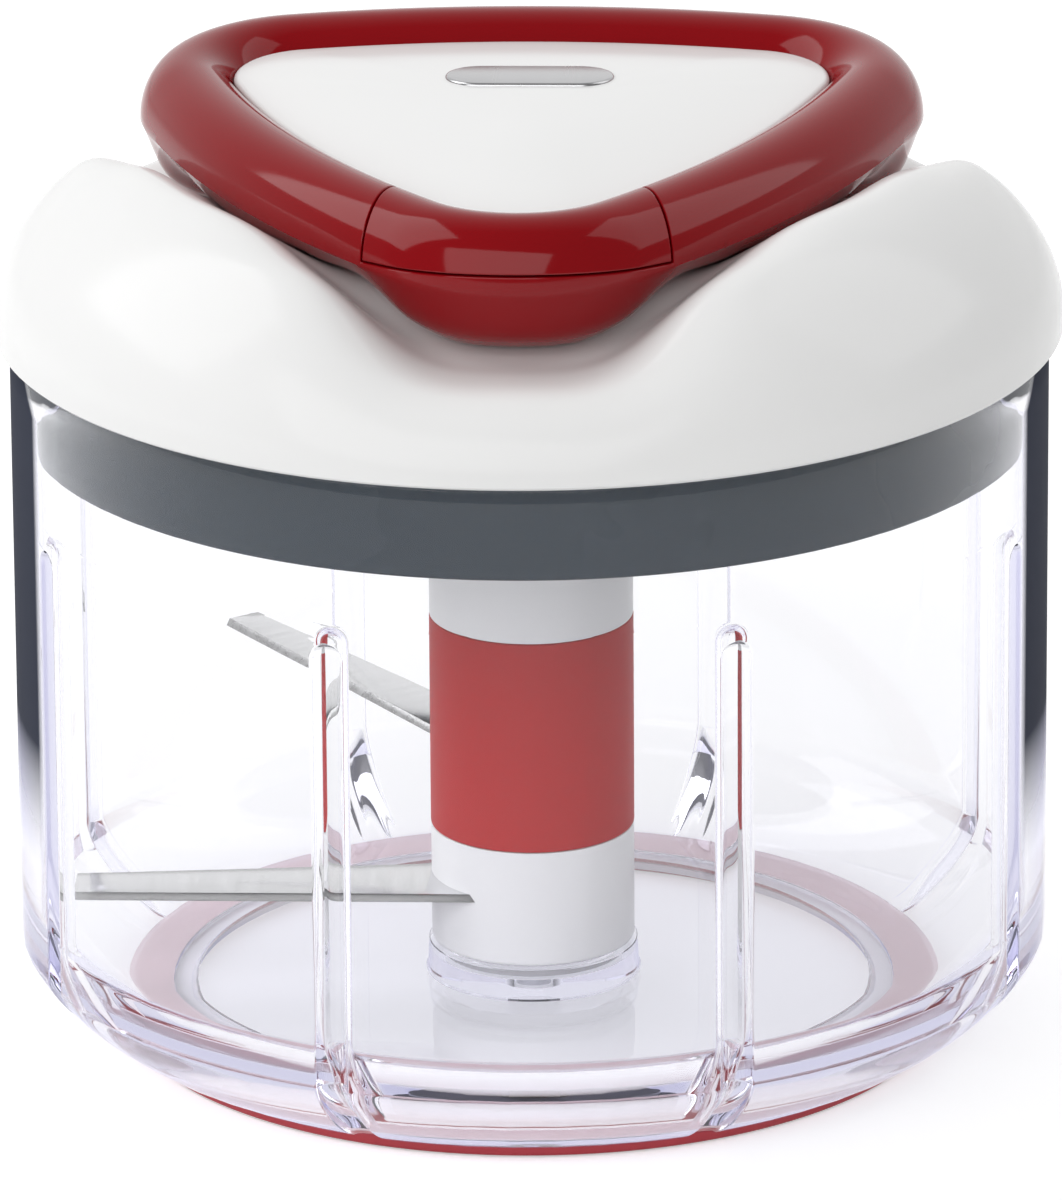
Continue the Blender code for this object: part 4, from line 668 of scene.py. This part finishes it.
LID_RADIUS = 0.0650
LID_RISE = 0.0234
LID_WALL = 0.0020
LID_EDGE_EASE = 0.0003
CREST_VALLEY_POWER = 4.5
TROUGH_START = 0.48
TROUGH_FULL = 0.78
LOBE_RADII = (1.0, 0.998, 0.975, 0.932, 0.871, 0.797, 0.720, 0.638, 0.540, 0.415)
LOBE_HEIGHTS = (0.0, 0.171, 0.385, 0.594, 0.790, 0.940, 1.0, 0.863, 0.680, 0.680)
VALLEY_RADII = (1.0, 0.992, 0.968, 0.932, 0.886, 0.800, 0.720, 0.626, 0.520, 0.415)
VALLEY_HEIGHTS = (0.0, 0.124, 0.252, 0.355, 0.412, 0.418, 0.422, 0.480, 0.680, 0.680)
LID_COLUMNS = 288
LID_ROWS = 54
LID_INNER_ROWS = 18


def hermite(values, t):
    """A smooth curve through equally spaced values, read at t from 0 to 1."""
    last = len(values) - 1
    i = min(int(t * last), last - 1)
    u = t * last - i
    a, b = values[i], values[i + 1]
    slope_a = (b - values[max(i - 1, 0)]) / 2.0
    slope_b = (values[min(i + 2, last)] - a) / 2.0
    return ((2.0 * u ** 3 - 3.0 * u ** 2 + 1.0) * a + (u ** 3 - 2.0 * u ** 2 + u) * slope_a
            + (3.0 * u ** 2 - 2.0 * u ** 3) * b + (u ** 3 - u ** 2) * slope_b)


def valley_share(turn, t=0.0):
    """1 along the bottom of a valley, 0 on a lobe: narrow at the lid's crest, wide inside it."""
    valley = smooth((1.0 + cos(3.0 * radians(turn - 270.0))) / 2.0)
    inward = smooth((t - TROUGH_START) / (TROUGH_FULL - TROUGH_START))
    return mix(valley ** CREST_VALLEY_POWER, valley, inward)


def lid_point(turn, t):
    """Radius and height of the lid's outer face, from its edge at t 0 to its opening at t 1."""
    share = valley_share(turn, t)
    radius = min(1.0, mix(hermite(LOBE_RADII, t), hermite(VALLEY_RADII, t), share))
    height = mix(hermite(LOBE_HEIGHTS, t), hermite(VALLEY_HEIGHTS, t), share)
    return LID_RADIUS * radius, LID_EDGE_Z + LID_RISE * height


def lid_height(x, y):
    """Height of the lid's outer face over a point of its plan."""
    turn = degrees(atan2(y, x))
    low, high = 0.0, 1.0
    for _ in range(20):
        middle = (low + high) / 2.0
        if lid_point(turn, middle)[0] > hypot(x, y):
            low = middle
        else:
            high = middle
    return lid_point(turn, low)[1]


def cover_point(column, row):
    """A point of the cover: up its outer face, over its opening and back down its inner face."""
    turn = 360.0 * column / LID_COLUMNS
    row = row % (LID_ROWS + LID_INNER_ROWS)
    if row <= LID_ROWS - 3:
        radius, height = lid_point(turn, row / (LID_ROWS - 3))
        if row == 0:
            height += LID_EDGE_EASE
    elif row == LID_ROWS - 2:
        radius, height = lid_point(turn, 1.0)
        height -= LID_WALL
    elif row < LID_ROWS + LID_INNER_ROWS - 2:
        t = 1.0 - (row - LID_ROWS + 2) / LID_INNER_ROWS
        radius, height = lid_point(turn, t)
        inward = Vector(lid_point(turn, min(1.0, t + 0.02))) - Vector(lid_point(turn, max(0.0, t - 0.02)))
        inward.normalize()
        radius, height = radius - LID_WALL * inward.y, height + LID_WALL * inward.x
    elif row == LID_ROWS + LID_INNER_ROWS - 2:
        radius, height = LID_RADIUS - LID_WALL, LID_EDGE_Z
    else:
        radius, height = LID_RADIUS - LID_EDGE_EASE, LID_EDGE_Z
    return (radius * cos(radians(turn)), radius * sin(radians(turn)), height)


cover = rolled_sheet("lobed_lid_cover", LID_COLUMNS, LID_ROWS + LID_INNER_ROWS, cover_point)
gloss_white = moulded_finish("gloss_white_plastic", (0.86, 0.86, 0.857), (0.845, 0.845, 0.842),
                             (0.14, 0.22), cloud=14.0, grain=900.0, bump=0.006, gloss=0.2)
cover.data.materials.append(gloss_white)
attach(cover, "lid_unit")
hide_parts("lid_cover")

# Finger ring and pull handle
# The ring is a rounded triangle in deep red gloss plastic whose three corners run down the valleys
# of the lid. The top half of its front corner is a separate handle, parted by a fine seam, that
# comes away on the cord.

CORNER_DISTANCE = 0.0303
CORNER_RADIUS = 0.0155
SIDE_DISTANCE = 0.0337
RING_CREST_Z = 0.1182
RING_LEAN = 0.0233
RING_HALF_WIDTH = 0.0062
RING_HALF_HEIGHT = 0.0076
RING_LEDGE = 0.0016
RING_FOOT_SIDE = 0.0340
RING_FOOT_TIP = 0.0430
NECK_CURVE = ((1.0, 1.0), (0.60, 0.88), (0.25, 0.62), (0.0, 0.0))
NECK_HOLLOW = 0.0006
CAP_SEAT_Z = 0.1093
HANDLE_PART_Z = 0.1114
HANDLE_PART_DROP = 0.0012
HANDLE_HALF_SEAM = 0.00012
HANDLE_INNER = 0.0032
HANDLE_END_HALF_WIDTH = 0.0183
HANDLE_END_Y = -0.0420
HANDLE_END_FLARE = 0.45
HANDLE_COLUMNS = 56
RING_COLUMNS = 232
END_STEPS = 40
TOP_ROWS = 18
FLOOR_ROWS = 8
LOW_ROWS = 3
INNER_ROWS = 12
NECK_ROWS = 14

side_along = CORNER_DISTANCE * cos(radians(60.0))
side_across = CORNER_DISTANCE * sin(radians(60.0))
side_reach = SIDE_DISTANCE - CORNER_RADIUS
side_back = (side_along ** 2 + side_across ** 2 - side_reach ** 2) / (2.0 * (side_reach - side_along))
side_radius = SIDE_DISTANCE + side_back
half_span = degrees(atan2(side_across, side_along + side_back))
corner_length = CORNER_RADIUS * radians(60.0 - half_span)
side_length = side_radius * radians(half_span)
third = 2.0 * (corner_length + side_length)


def ring_turn(path):
    """The direction that the ring's outline faces after a path from the middle of its front."""
    side = -1.0 if path < 0.0 else 1.0
    whole, rest = divmod(abs(path), third)
    if rest < corner_length:
        turn = degrees(rest / CORNER_RADIUS)
    elif rest < third - corner_length:
        turn = 60.0 - half_span + degrees((rest - corner_length) / side_radius)
    else:
        turn = 60.0 + half_span + degrees((rest - third + corner_length) / CORNER_RADIUS)
    return 270.0 + side * (120.0 * whole + turn)


def ring_point(turn, offset):
    """A point of the ring's plan, offset outward from its middle line."""
    corner = 270.0 + 120.0 * round((turn - 270.0) / 120.0)
    if abs(turn - corner) <= 60.0 - half_span:
        towards, distance, radius = radians(corner), CORNER_DISTANCE, CORNER_RADIUS
    else:
        towards = radians(corner + (60.0 if turn > corner else -60.0))
        distance, radius = -side_back, side_radius
    return (distance * cos(towards) + (radius + offset) * cos(radians(turn)),
            distance * sin(towards) + (radius + offset) * sin(radians(turn)))


def crest_height(y):
    """The ring leans a little: its crest is lowest at the handle."""
    return RING_CREST_Z + RING_LEAN * y


def foot_offset(turn):
    """How far out the ring's foot meets the lid: furthest along the valleys."""
    low, high = -RING_HALF_WIDTH, RING_FOOT_TIP
    for _ in range(24):
        middle = (low + high) / 2.0
        x, y = ring_point(turn, middle)
        valley = valley_share(degrees(atan2(y, x))) ** 2.0
        if hypot(x, y) < mix(RING_FOOT_SIDE, RING_FOOT_TIP, valley):
            low = middle
        else:
            high = middle
    return low


def handle_end(offset):
    """The path at which an offset of the ring crosses the end face of the handle."""
    low, high = 0.0, corner_length + side_length
    for _ in range(24):
        middle = (low + high) / 2.0
        x, y = ring_point(ring_turn(middle), offset)
        if x < HANDLE_END_HALF_WIDTH + HANDLE_END_FLARE * (HANDLE_END_Y - y):
            low = middle
        else:
            high = middle
    return low


end_table = [handle_end(-RING_HALF_WIDTH + 2.0 * RING_HALF_WIDTH * step / END_STEPS)
             for step in range(END_STEPS + 1)]


def end_path(offset):
    """The path at which an offset crosses the handle's end, read from the table."""
    place = (offset + RING_HALF_WIDTH) / (2.0 * RING_HALF_WIDTH) * END_STEPS
    place = min(max(place, 0.0), END_STEPS - 0.001)
    return mix(end_table[int(place)], end_table[int(place) + 1], place - int(place))


def column_turn(column, offset, seam):
    """The ring's direction at a column, with the handle's end faces on the same columns."""
    end = end_path(offset) + seam
    half = HANDLE_COLUMNS / 2.0
    if abs(column) <= half:
        return ring_turn(column / half * end)
    share = (abs(column) - half) / (RING_COLUMNS / 2.0)
    path = end + (1.5 * third - end) * share
    return ring_turn(path if column > 0 else -path)


def part_height(x):
    """The parting under the handle: arched across."""
    return HANDLE_PART_Z - HANDLE_PART_DROP * (x / HANDLE_END_HALF_WIDTH) ** 2


def on_ring(column, angle, seam):
    """A point of the ring's round top at an angle from its outer waist."""
    offset = RING_HALF_WIDTH * cos(angle)
    x, y = ring_point(column_turn(column, offset, seam), offset)
    return Vector((x, y, crest_height(y) - RING_HALF_HEIGHT + RING_HALF_HEIGHT * sin(angle)))


def part_angle(column, seam):
    """The angle of the ring's round top at which the handle parts from it."""
    angle = 0.2
    for _ in range(6):
        spot = on_ring(column, angle, seam)
        waist = crest_height(spot.y) - RING_HALF_HEIGHT
        angle = asin(min(max((part_height(spot.x) - seam - waist) / RING_HALF_HEIGHT, 0.0), 0.95))
    return angle


def curved(points, t):
    """A smooth curve through points, read at t from 0 to 1."""
    return Vector([hermite([point[axis] for point in points], t) for axis in range(len(points[0]))])


def parting_rows(column, start, seam):
    """The arched parting face, from the ring's outer side in to the back of the handle."""
    rows = []
    for step in range(FLOOR_ROWS + 1):
        offset = mix(RING_HALF_WIDTH * cos(start), -HANDLE_INNER - seam, step / FLOOR_ROWS)
        x, y = ring_point(column_turn(column, offset, seam), offset)
        rows.append(Vector((x, y, part_height(x) - seam)))
    return rows


def ring_rows(column, pocket):
    """One closed section of the finger ring, with or without the handle's pocket cut in it."""
    seam = HANDLE_HALF_SEAM
    inner = acos(-(HANDLE_INNER + seam) / RING_HALF_WIDTH)
    start = part_angle(column, seam)
    back_rows = TOP_ROWS - FLOOR_ROWS
    rows = [on_ring(column, start * step / LOW_ROWS, seam) for step in range(LOW_ROWS)]
    if pocket:
        rows += parting_rows(column, start, seam)
        top, bottom = on_ring(column, inner, seam), rows[-1]
        rows += [bottom.lerp(top, step / back_rows) for step in range(1, back_rows + 1)]
    else:
        rows += [on_ring(column, mix(start, inner, step / TOP_ROWS), seam) for step in range(TOP_ROWS + 1)]
    rows += [on_ring(column, mix(inner, pi, step / INNER_ROWS), seam)
             for step in range(1, INNER_ROWS + 1)]
    turn = column_turn(column, -RING_HALF_WIDTH, seam)
    ledge = -RING_HALF_WIDTH - RING_LEDGE
    rows.append(Vector((*ring_point(turn, -RING_HALF_WIDTH), CAP_SEAT_Z)))
    rows.append(Vector((*ring_point(turn, ledge), CAP_SEAT_Z)))
    turn = column_turn(column, RING_HALF_WIDTH, seam)
    foot = foot_offset(turn)
    for share in (0.0, 0.5, 1.0):
        x, y = ring_point(turn, mix(ledge, foot, share))
        rows.append(Vector((x, y, lid_height(x, y) + 0.0002)))
    waist_z, foot_z = on_ring(column, 0.0, seam).z, rows[-1].z
    for step in range(1, NECK_ROWS):
        share = step / NECK_ROWS
        out, down = curved(NECK_CURVE, share)
        offset = mix(RING_HALF_WIDTH, foot, out) - NECK_HOLLOW * sin(pi * share)
        x, y = ring_point(turn, offset)
        rows.append(Vector((x, y, max(mix(waist_z, foot_z, down), lid_height(x, y) + 0.0003))))
    return rows


half = HANDLE_COLUMNS // 2
ring_columns = [(number, False) for number in range(-half - RING_COLUMNS // 2, -half + 1)]
ring_columns += [(number, True) for number in range(-half, half + 1)]
ring_columns += [(number, False) for number in range(half, half + RING_COLUMNS // 2 + 1)]
ring_grid = [ring_rows(number, pocket) for number, pocket in ring_columns]
ring_grid = [rows + rows[:1] for rows in ring_grid]
finger_ring = rolled_sheet("finger_ring", len(ring_grid) - 1, len(ring_grid[0]) - 1,
                           lambda column, row: ring_grid[column][row])


def handle_rows(column):
    """A section of the pull handle: over its round top, then along under it and up its back."""
    seam = -HANDLE_HALF_SEAM
    inner = acos(-(HANDLE_INNER + seam) / RING_HALF_WIDTH)
    start = part_angle(column, seam)
    back_rows = TOP_ROWS - FLOOR_ROWS
    over = [on_ring(column, mix(start, inner, step / TOP_ROWS), seam) for step in range(TOP_ROWS + 1)]
    under = parting_rows(column, start, seam)
    back = [under[-1].lerp(over[-1], step / back_rows) for step in range(1, back_rows)]
    return over, under + back


handle_sections = [handle_rows(number) for number in range(-half, half + 1)]
handle_grid = [over + lower[::-1] for over, lower in handle_sections]
first_end, last_end = [lower + over[-1:] + lower[::-1]
                       for over, lower in (handle_sections[0], handle_sections[-1])]
handle_grid = [first_end, *handle_grid, last_end]
pull_handle = rolled_sheet("pull_grip", len(handle_grid) - 1, len(handle_grid[0]) - 1,
                           lambda column, row: handle_grid[column][row])
for piece in (finger_ring, pull_handle):
    bevelled(piece, 0.00022, 50.0)
    merged_and_outward(piece.name, 0.000001)
deep_red = moulded_finish("deep_red_gloss_plastic", (0.25, 0.0020, 0.0050), (0.23, 0.0018, 0.0044),
                          (0.07, 0.11), cloud=20.0, grain=900.0, bump=0.004, gloss=0.26)
for piece, node, body in ((finger_ring, "handle_ring", "lid_unit"),
                          (pull_handle, "pull_handle", "handle_unit")):
    piece.data.materials.append(deep_red)
    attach(piece, body)
    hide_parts(node)

# Centre cap and inlay
# The cap is a shallow white dome that drops into the ring and hides the reel. A bare bar of
# bright metal with round ends is let into it towards the back.

CAP_EDGE_DROP = 0.0026
CAP_DOME = 0.0022
CAP_GAP = 0.0002
CAP_ROUNDING = 0.0007
CAP_WALL = 0.0019
CAP_DOME_ROWS = 16
INLAY_LENGTH = 0.0206
INLAY_WIDTH = 0.0088
INLAY_DEPTH = 0.0012
INLAY_PROUD = 0.0003
INLAY_Y = 0.0087
cap_centre_z = RING_CREST_Z - CAP_EDGE_DROP + CAP_DOME


def cap_point(column, row):
    """From the middle of the dome out to its rounded rim, down its side and back under it."""
    turn = ring_turn(3.0 * third * column / (HANDLE_COLUMNS + RING_COLUMNS))
    crest = crest_height(ring_point(turn, 0.0)[1])
    waist = crest - RING_HALF_HEIGHT
    edge_z = crest - CAP_EDGE_DROP
    flare = edge_z - CAP_ROUNDING
    lift = (flare - waist) / RING_HALF_HEIGHT
    flare_offset = -RING_HALF_WIDTH * sqrt(1.0 - lift ** 2) - CAP_GAP
    side_offset = -RING_HALF_WIDTH - CAP_GAP
    if row <= CAP_DOME_ROWS:
        share = row / CAP_DOME_ROWS
        edge = ring_point(turn, flare_offset - CAP_ROUNDING)
        return (edge[0] * share, edge[1] * share, mix(cap_centre_z, edge_z, share ** 2))
    if row <= CAP_DOME_ROWS + 4:
        angle = pi / 2.0 * (row - CAP_DOME_ROWS) / 4.0
        return (*ring_point(turn, flare_offset - CAP_ROUNDING + CAP_ROUNDING * sin(angle)),
                flare + CAP_ROUNDING * cos(angle))
    if row == CAP_DOME_ROWS + 5:
        return (*ring_point(turn, side_offset), waist + (flare - waist) / 3.0)
    if row == CAP_DOME_ROWS + 6:
        return (*ring_point(turn, side_offset), CAP_SEAT_Z + CAP_GAP)
    roof = ring_point(turn, side_offset - CAP_WALL)
    if row == CAP_DOME_ROWS + 7:
        return (*roof, CAP_SEAT_Z + CAP_GAP)
    share = (CAP_DOME_ROWS + 12 - row) / 4.0
    return (roof[0] * share, roof[1] * share, mix(cap_centre_z, edge_z, share ** 2) - CAP_WALL)


cap = rolled_sheet("white_centre_cap", HANDLE_COLUMNS + RING_COLUMNS, CAP_DOME_ROWS + 12, cap_point)
cap.data.materials.append(gloss_white)
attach(cap, "lid_unit")
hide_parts("centre_cap")

edge_y = ring_point(450.0, -RING_HALF_WIDTH)[1]
inlay_share = INLAY_Y / edge_y
inlay_edge_z = crest_height(edge_y) - CAP_EDGE_DROP
inlay_z = mix(cap_centre_z, inlay_edge_z, inlay_share ** 2)
inlay_slope = atan2(2.0 * inlay_share * (inlay_edge_z - cap_centre_z) / edge_y, 1.0)
bpy.ops.object.select_all(action="DESELECT")
bpy.ops.mesh.primitive_cylinder_add(vertices=64, radius=INLAY_WIDTH / 2.0, depth=INLAY_DEPTH,
                                    location=(0.0, 0.0, INLAY_PROUD - INLAY_DEPTH / 2.0))
inlay = bpy.context.active_object
bpy.ops.object.transform_apply(location=True)
for point in inlay.data.vertices:
    point.co.x += (INLAY_LENGTH - INLAY_WIDTH) / 2.0 * (1.0 if point.co.x > 0.0 else -1.0)
bevelled(inlay, 0.0004, 50.0, 3)
inlay.data.transform(Matrix.Translation(Vector((0.0, INLAY_Y, inlay_z)))
                     @ Matrix.Rotation(inlay_slope, 4, "X"))
merged_and_outward("bright_bar_inlay", 0.000001)
inlay.data.materials.append(steel_finish("bright_inlay_metal", (0.60, 0.60, 0.61), (0.46, 0.46, 0.47),
                                         (0.22, 0.34), 0.06))
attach(inlay, "lid_unit")
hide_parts("cap_inlay")

# Pull cord
# A thin braided cord runs from a stop in the back of the handle through a steel guide to the reel.
# It is stowed at rest and drawn out straight when the handle is pulled.

CORD_RADIUS = 0.0008
CORD_Z = 0.1132
WIND_RADIUS = 0.0184
WIND_TURNS = 2.4
WIND_PITCH = 0.0021
handle_back = -(CORNER_DISTANCE + CORNER_RADIUS - HANDLE_INNER)
guide_y = handle_back + 0.0021
exit_turn = 270.0 - degrees(acos(WIND_RADIUS / -guide_y))
exit_z = 0.1078

cord_fibre, shader, place = bare_finish("braided_cord_fibre")
strands = add_node(cord_fibre, "TexVoronoi", {"Vector": place, "Scale": 2600.0}).outputs["Distance"]
weave = add_node(cord_fibre, "Bump", {"Height": strands, "Strength": 0.5, "Distance": 0.0001})
set_inputs(cord_fibre, shader, {
    "Base Color": ramp(cord_fibre, strands, ((0.2, (0.72, 0.71, 0.68)), (0.8, (0.50, 0.49, 0.46)))),
    "Normal": weave.outputs["Normal"], "Roughness": 0.8, "Sheen Weight": 0.2})


def cord_along(name, points):
    """A round cord drawn along points, as a curve made into a mesh."""
    curve = bpy.data.curves.new(name, "CURVE")
    curve.dimensions = "3D"
    curve.bevel_depth = CORD_RADIUS
    curve.bevel_resolution = 4
    curve.use_fill_caps = True
    spline = curve.splines.new("POLY")
    spline.points.add(len(points) - 1)
    for target, point in zip(spline.points, points):
        target.co = (*point, 1.0)
    made = bpy.data.objects.new(name, curve)
    bpy.context.collection.objects.link(made)
    bpy.ops.object.select_all(action="DESELECT")
    made.select_set(True)
    bpy.context.view_layer.objects.active = made
    bpy.ops.object.convert(target="MESH")
    made = merged_and_outward(name, 0.000001)
    made.data.materials.clear()
    made.data.materials.append(cord_fibre)
    return made


stop_end = Vector((0.0, handle_back - 0.0006, CORD_Z))
at_back = Vector((0.0, handle_back, CORD_Z))
at_guide = Vector((0.0, guide_y, CORD_Z))
at_reel = Vector((WIND_RADIUS * cos(radians(exit_turn)), WIND_RADIUS * sin(radians(exit_turn)), exit_z))
route = [stop_end] + [at_back.lerp(at_guide, step / 14.0) for step in range(15)]
route += [at_guide.lerp(at_reel, step / 6.0) for step in range(1, 7)]
pull_cord = cord_along("braided_pull_cord", route)
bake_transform(pull_cord)
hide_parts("pull_cord")
wound = []
for step in range(97):
    share = WIND_TURNS * step / 96.0
    turn = radians(exit_turn - 3.4 - 360.0 * share)
    wound.append((WIND_RADIUS * cos(turn), WIND_RADIUS * sin(turn), exit_z - WIND_PITCH * share))
winding = cord_along("wound_cord", wound)
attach(winding, "reel_unit")
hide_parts("cord_winding")

# Mechanism inside the lid
# The reel, its spiral spring, the one-way clutch and the drive shaft are turned, stamped and
# moulded parts that the lid hides. They keep their solids, and each gets its own finish.

inner_white = moulded_finish("inner_white_plastic", (0.72, 0.72, 0.70), (0.66, 0.66, 0.64), (0.35, 0.5))
black_plastic = moulded_finish("black_bearing_plastic", (0.020, 0.020, 0.022), (0.014, 0.014, 0.016),
                               (0.38, 0.50))
spring_steel = steel_finish("blue_spring_steel", (0.34, 0.36, 0.42), (0.22, 0.24, 0.30), (0.22, 0.35),
                            0.1)
for nodes, finish in (
        (("reel", "pawl_ring"), inner_white), (("recoil_spring",), spring_steel),
        (("reel_axle", "drive_shaft", "cord_guide"), turned_steel),
        (("lid_screw_a", "lid_screw_b", "lid_screw_c"), turned_steel),
        (("spring_case", "ratchet_wheel", "cord_stop"), slate), (("shaft_bush",), black_plastic)):
    for node in nodes:
        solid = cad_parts[node]
        for slot in solid.material_slots:
            slot.material = finish

# Table, lamps and camera
# The chopper stands on a plain white table under soft studio lamps: the key high on the left, a
# weaker one on the right, and a very large one far in front. The white surround is brighter
# behind the chopper than in front of it. The camera looks slightly down on it.

TABLE_GLOW = 0.42
THROUGH_GLASS = 0.90
FRONT_SKY = 0.22

bpy.ops.object.select_all(action="DESELECT")
bpy.ops.mesh.primitive_plane_add(size=6.0, location=(0.0, 0.0, -0.0002))
table = bpy.context.active_object
table.name = "white_table"
table_white, shader, place = bare_finish("white_table_paint")
paper = noise(table_white, place, 4.0, 3.0)
path = add_node(table_white, "LightPath", {})
seen = combined(table_white, "MAXIMUM", path.outputs["Is Camera Ray"],
                path.outputs["Is Transmission Ray"], path.outputs["Is Glossy Ray"])
seen = combined(table_white, "SUBTRACT", seen, path.outputs["Diffuse Depth"], use_clamp=True)
glow = combined(table_white, "MULTIPLY", seen, TABLE_GLOW)
set_inputs(table_white, shader, {
    "Base Color": ramp(table_white, paper, ((0.3, (0.80, 0.80, 0.80)), (0.7, (0.81, 0.81, 0.81)))),
    "Emission Strength": glow, "Emission Color": (1.0, 1.0, 1.0, 1.0), "Roughness": 0.9,
    "Specular IOR Level": 0.1})
table.data.materials.append(table_white)

# The surround is white to the eye and through the glass, and it lights the rest by direction.
world = bpy.data.worlds.new("white_studio")
bpy.context.scene.world = world
world.use_nodes = True
sky = world.node_tree.nodes["Background"]
path = add_node(world, "LightPath", {})
through_glass = combined(world, "MULTIPLY", path.outputs["Is Transmission Ray"], THROUGH_GLASS)
seen = combined(world, "MAXIMUM", path.outputs["Is Camera Ray"], through_glass)
seen = combined(world, "SUBTRACT", seen, path.outputs["Diffuse Depth"], use_clamp=True)
towards = add_node(world, "TexCoord", {}).outputs["Generated"]
axes = add_node(world, "SeparateXYZ", {"Vector": towards})
behind = scaled(world, axes.outputs["Y"], FRONT_SKY, 1.0, 0.0, 0.9)
set_inputs(world, sky, {"Strength": scaled(world, seen, behind, 1.0), "Color": (1.0, 1.0, 1.0, 1.0)})


def soft_lamp(name, spot, aim, size, power):
    """A rectangular soft lamp that faces a point."""
    light = bpy.data.lights.new(name, "AREA")
    light.shape = "RECTANGLE"
    light.size = size[0]
    light.size_y = size[1]
    light.energy = power
    lamp = bpy.data.objects.new(name, light)
    bpy.context.collection.objects.link(lamp)
    lamp.location = spot
    lamp.rotation_euler = (Vector(aim) - Vector(spot)).to_track_quat("-Z", "Y").to_euler()


soft_lamp("key_lamp", (-0.80, 0.10, 0.80), (0.0, 0.0, 0.08), (0.80, 0.90), 5.3)
soft_lamp("side_lamp", (0.80, 0.15, 0.75), (0.0, 0.0, 0.08), (0.70, 0.90), 2.5)
soft_lamp("front_lamp", (-0.60, -2.30, 1.30), (0.0, 0.0, 0.08), (3.20, 2.00), 42.0)

CAMERA_PLACE = (0.0473, -1.4262, 0.551)
CAMERA_PAN = 1.9
CAMERA_PITCH = 70.77
CAMERA_ROLL = -0.41
camera_data = bpy.data.cameras.new("photo_camera")
camera_data.sensor_width = 36.0
camera_data.sensor_fit = "VERTICAL"
camera_data.sensor_height = 36.0
camera_data.lens = 369.4
camera_data.clip_end = 20.0
camera = bpy.data.objects.new("photo_camera", camera_data)
bpy.context.collection.objects.link(camera)
camera.matrix_world = (Matrix.Translation(CAMERA_PLACE) @ Matrix.Rotation(radians(CAMERA_PAN), 4, "Z")
                       @ Matrix.Rotation(radians(CAMERA_PITCH), 4, "X")
                       @ Matrix.Rotation(radians(CAMERA_ROLL), 4, "Z"))
bpy.context.scene.camera = camera
bpy.context.scene.view_settings.view_transform = "Standard"
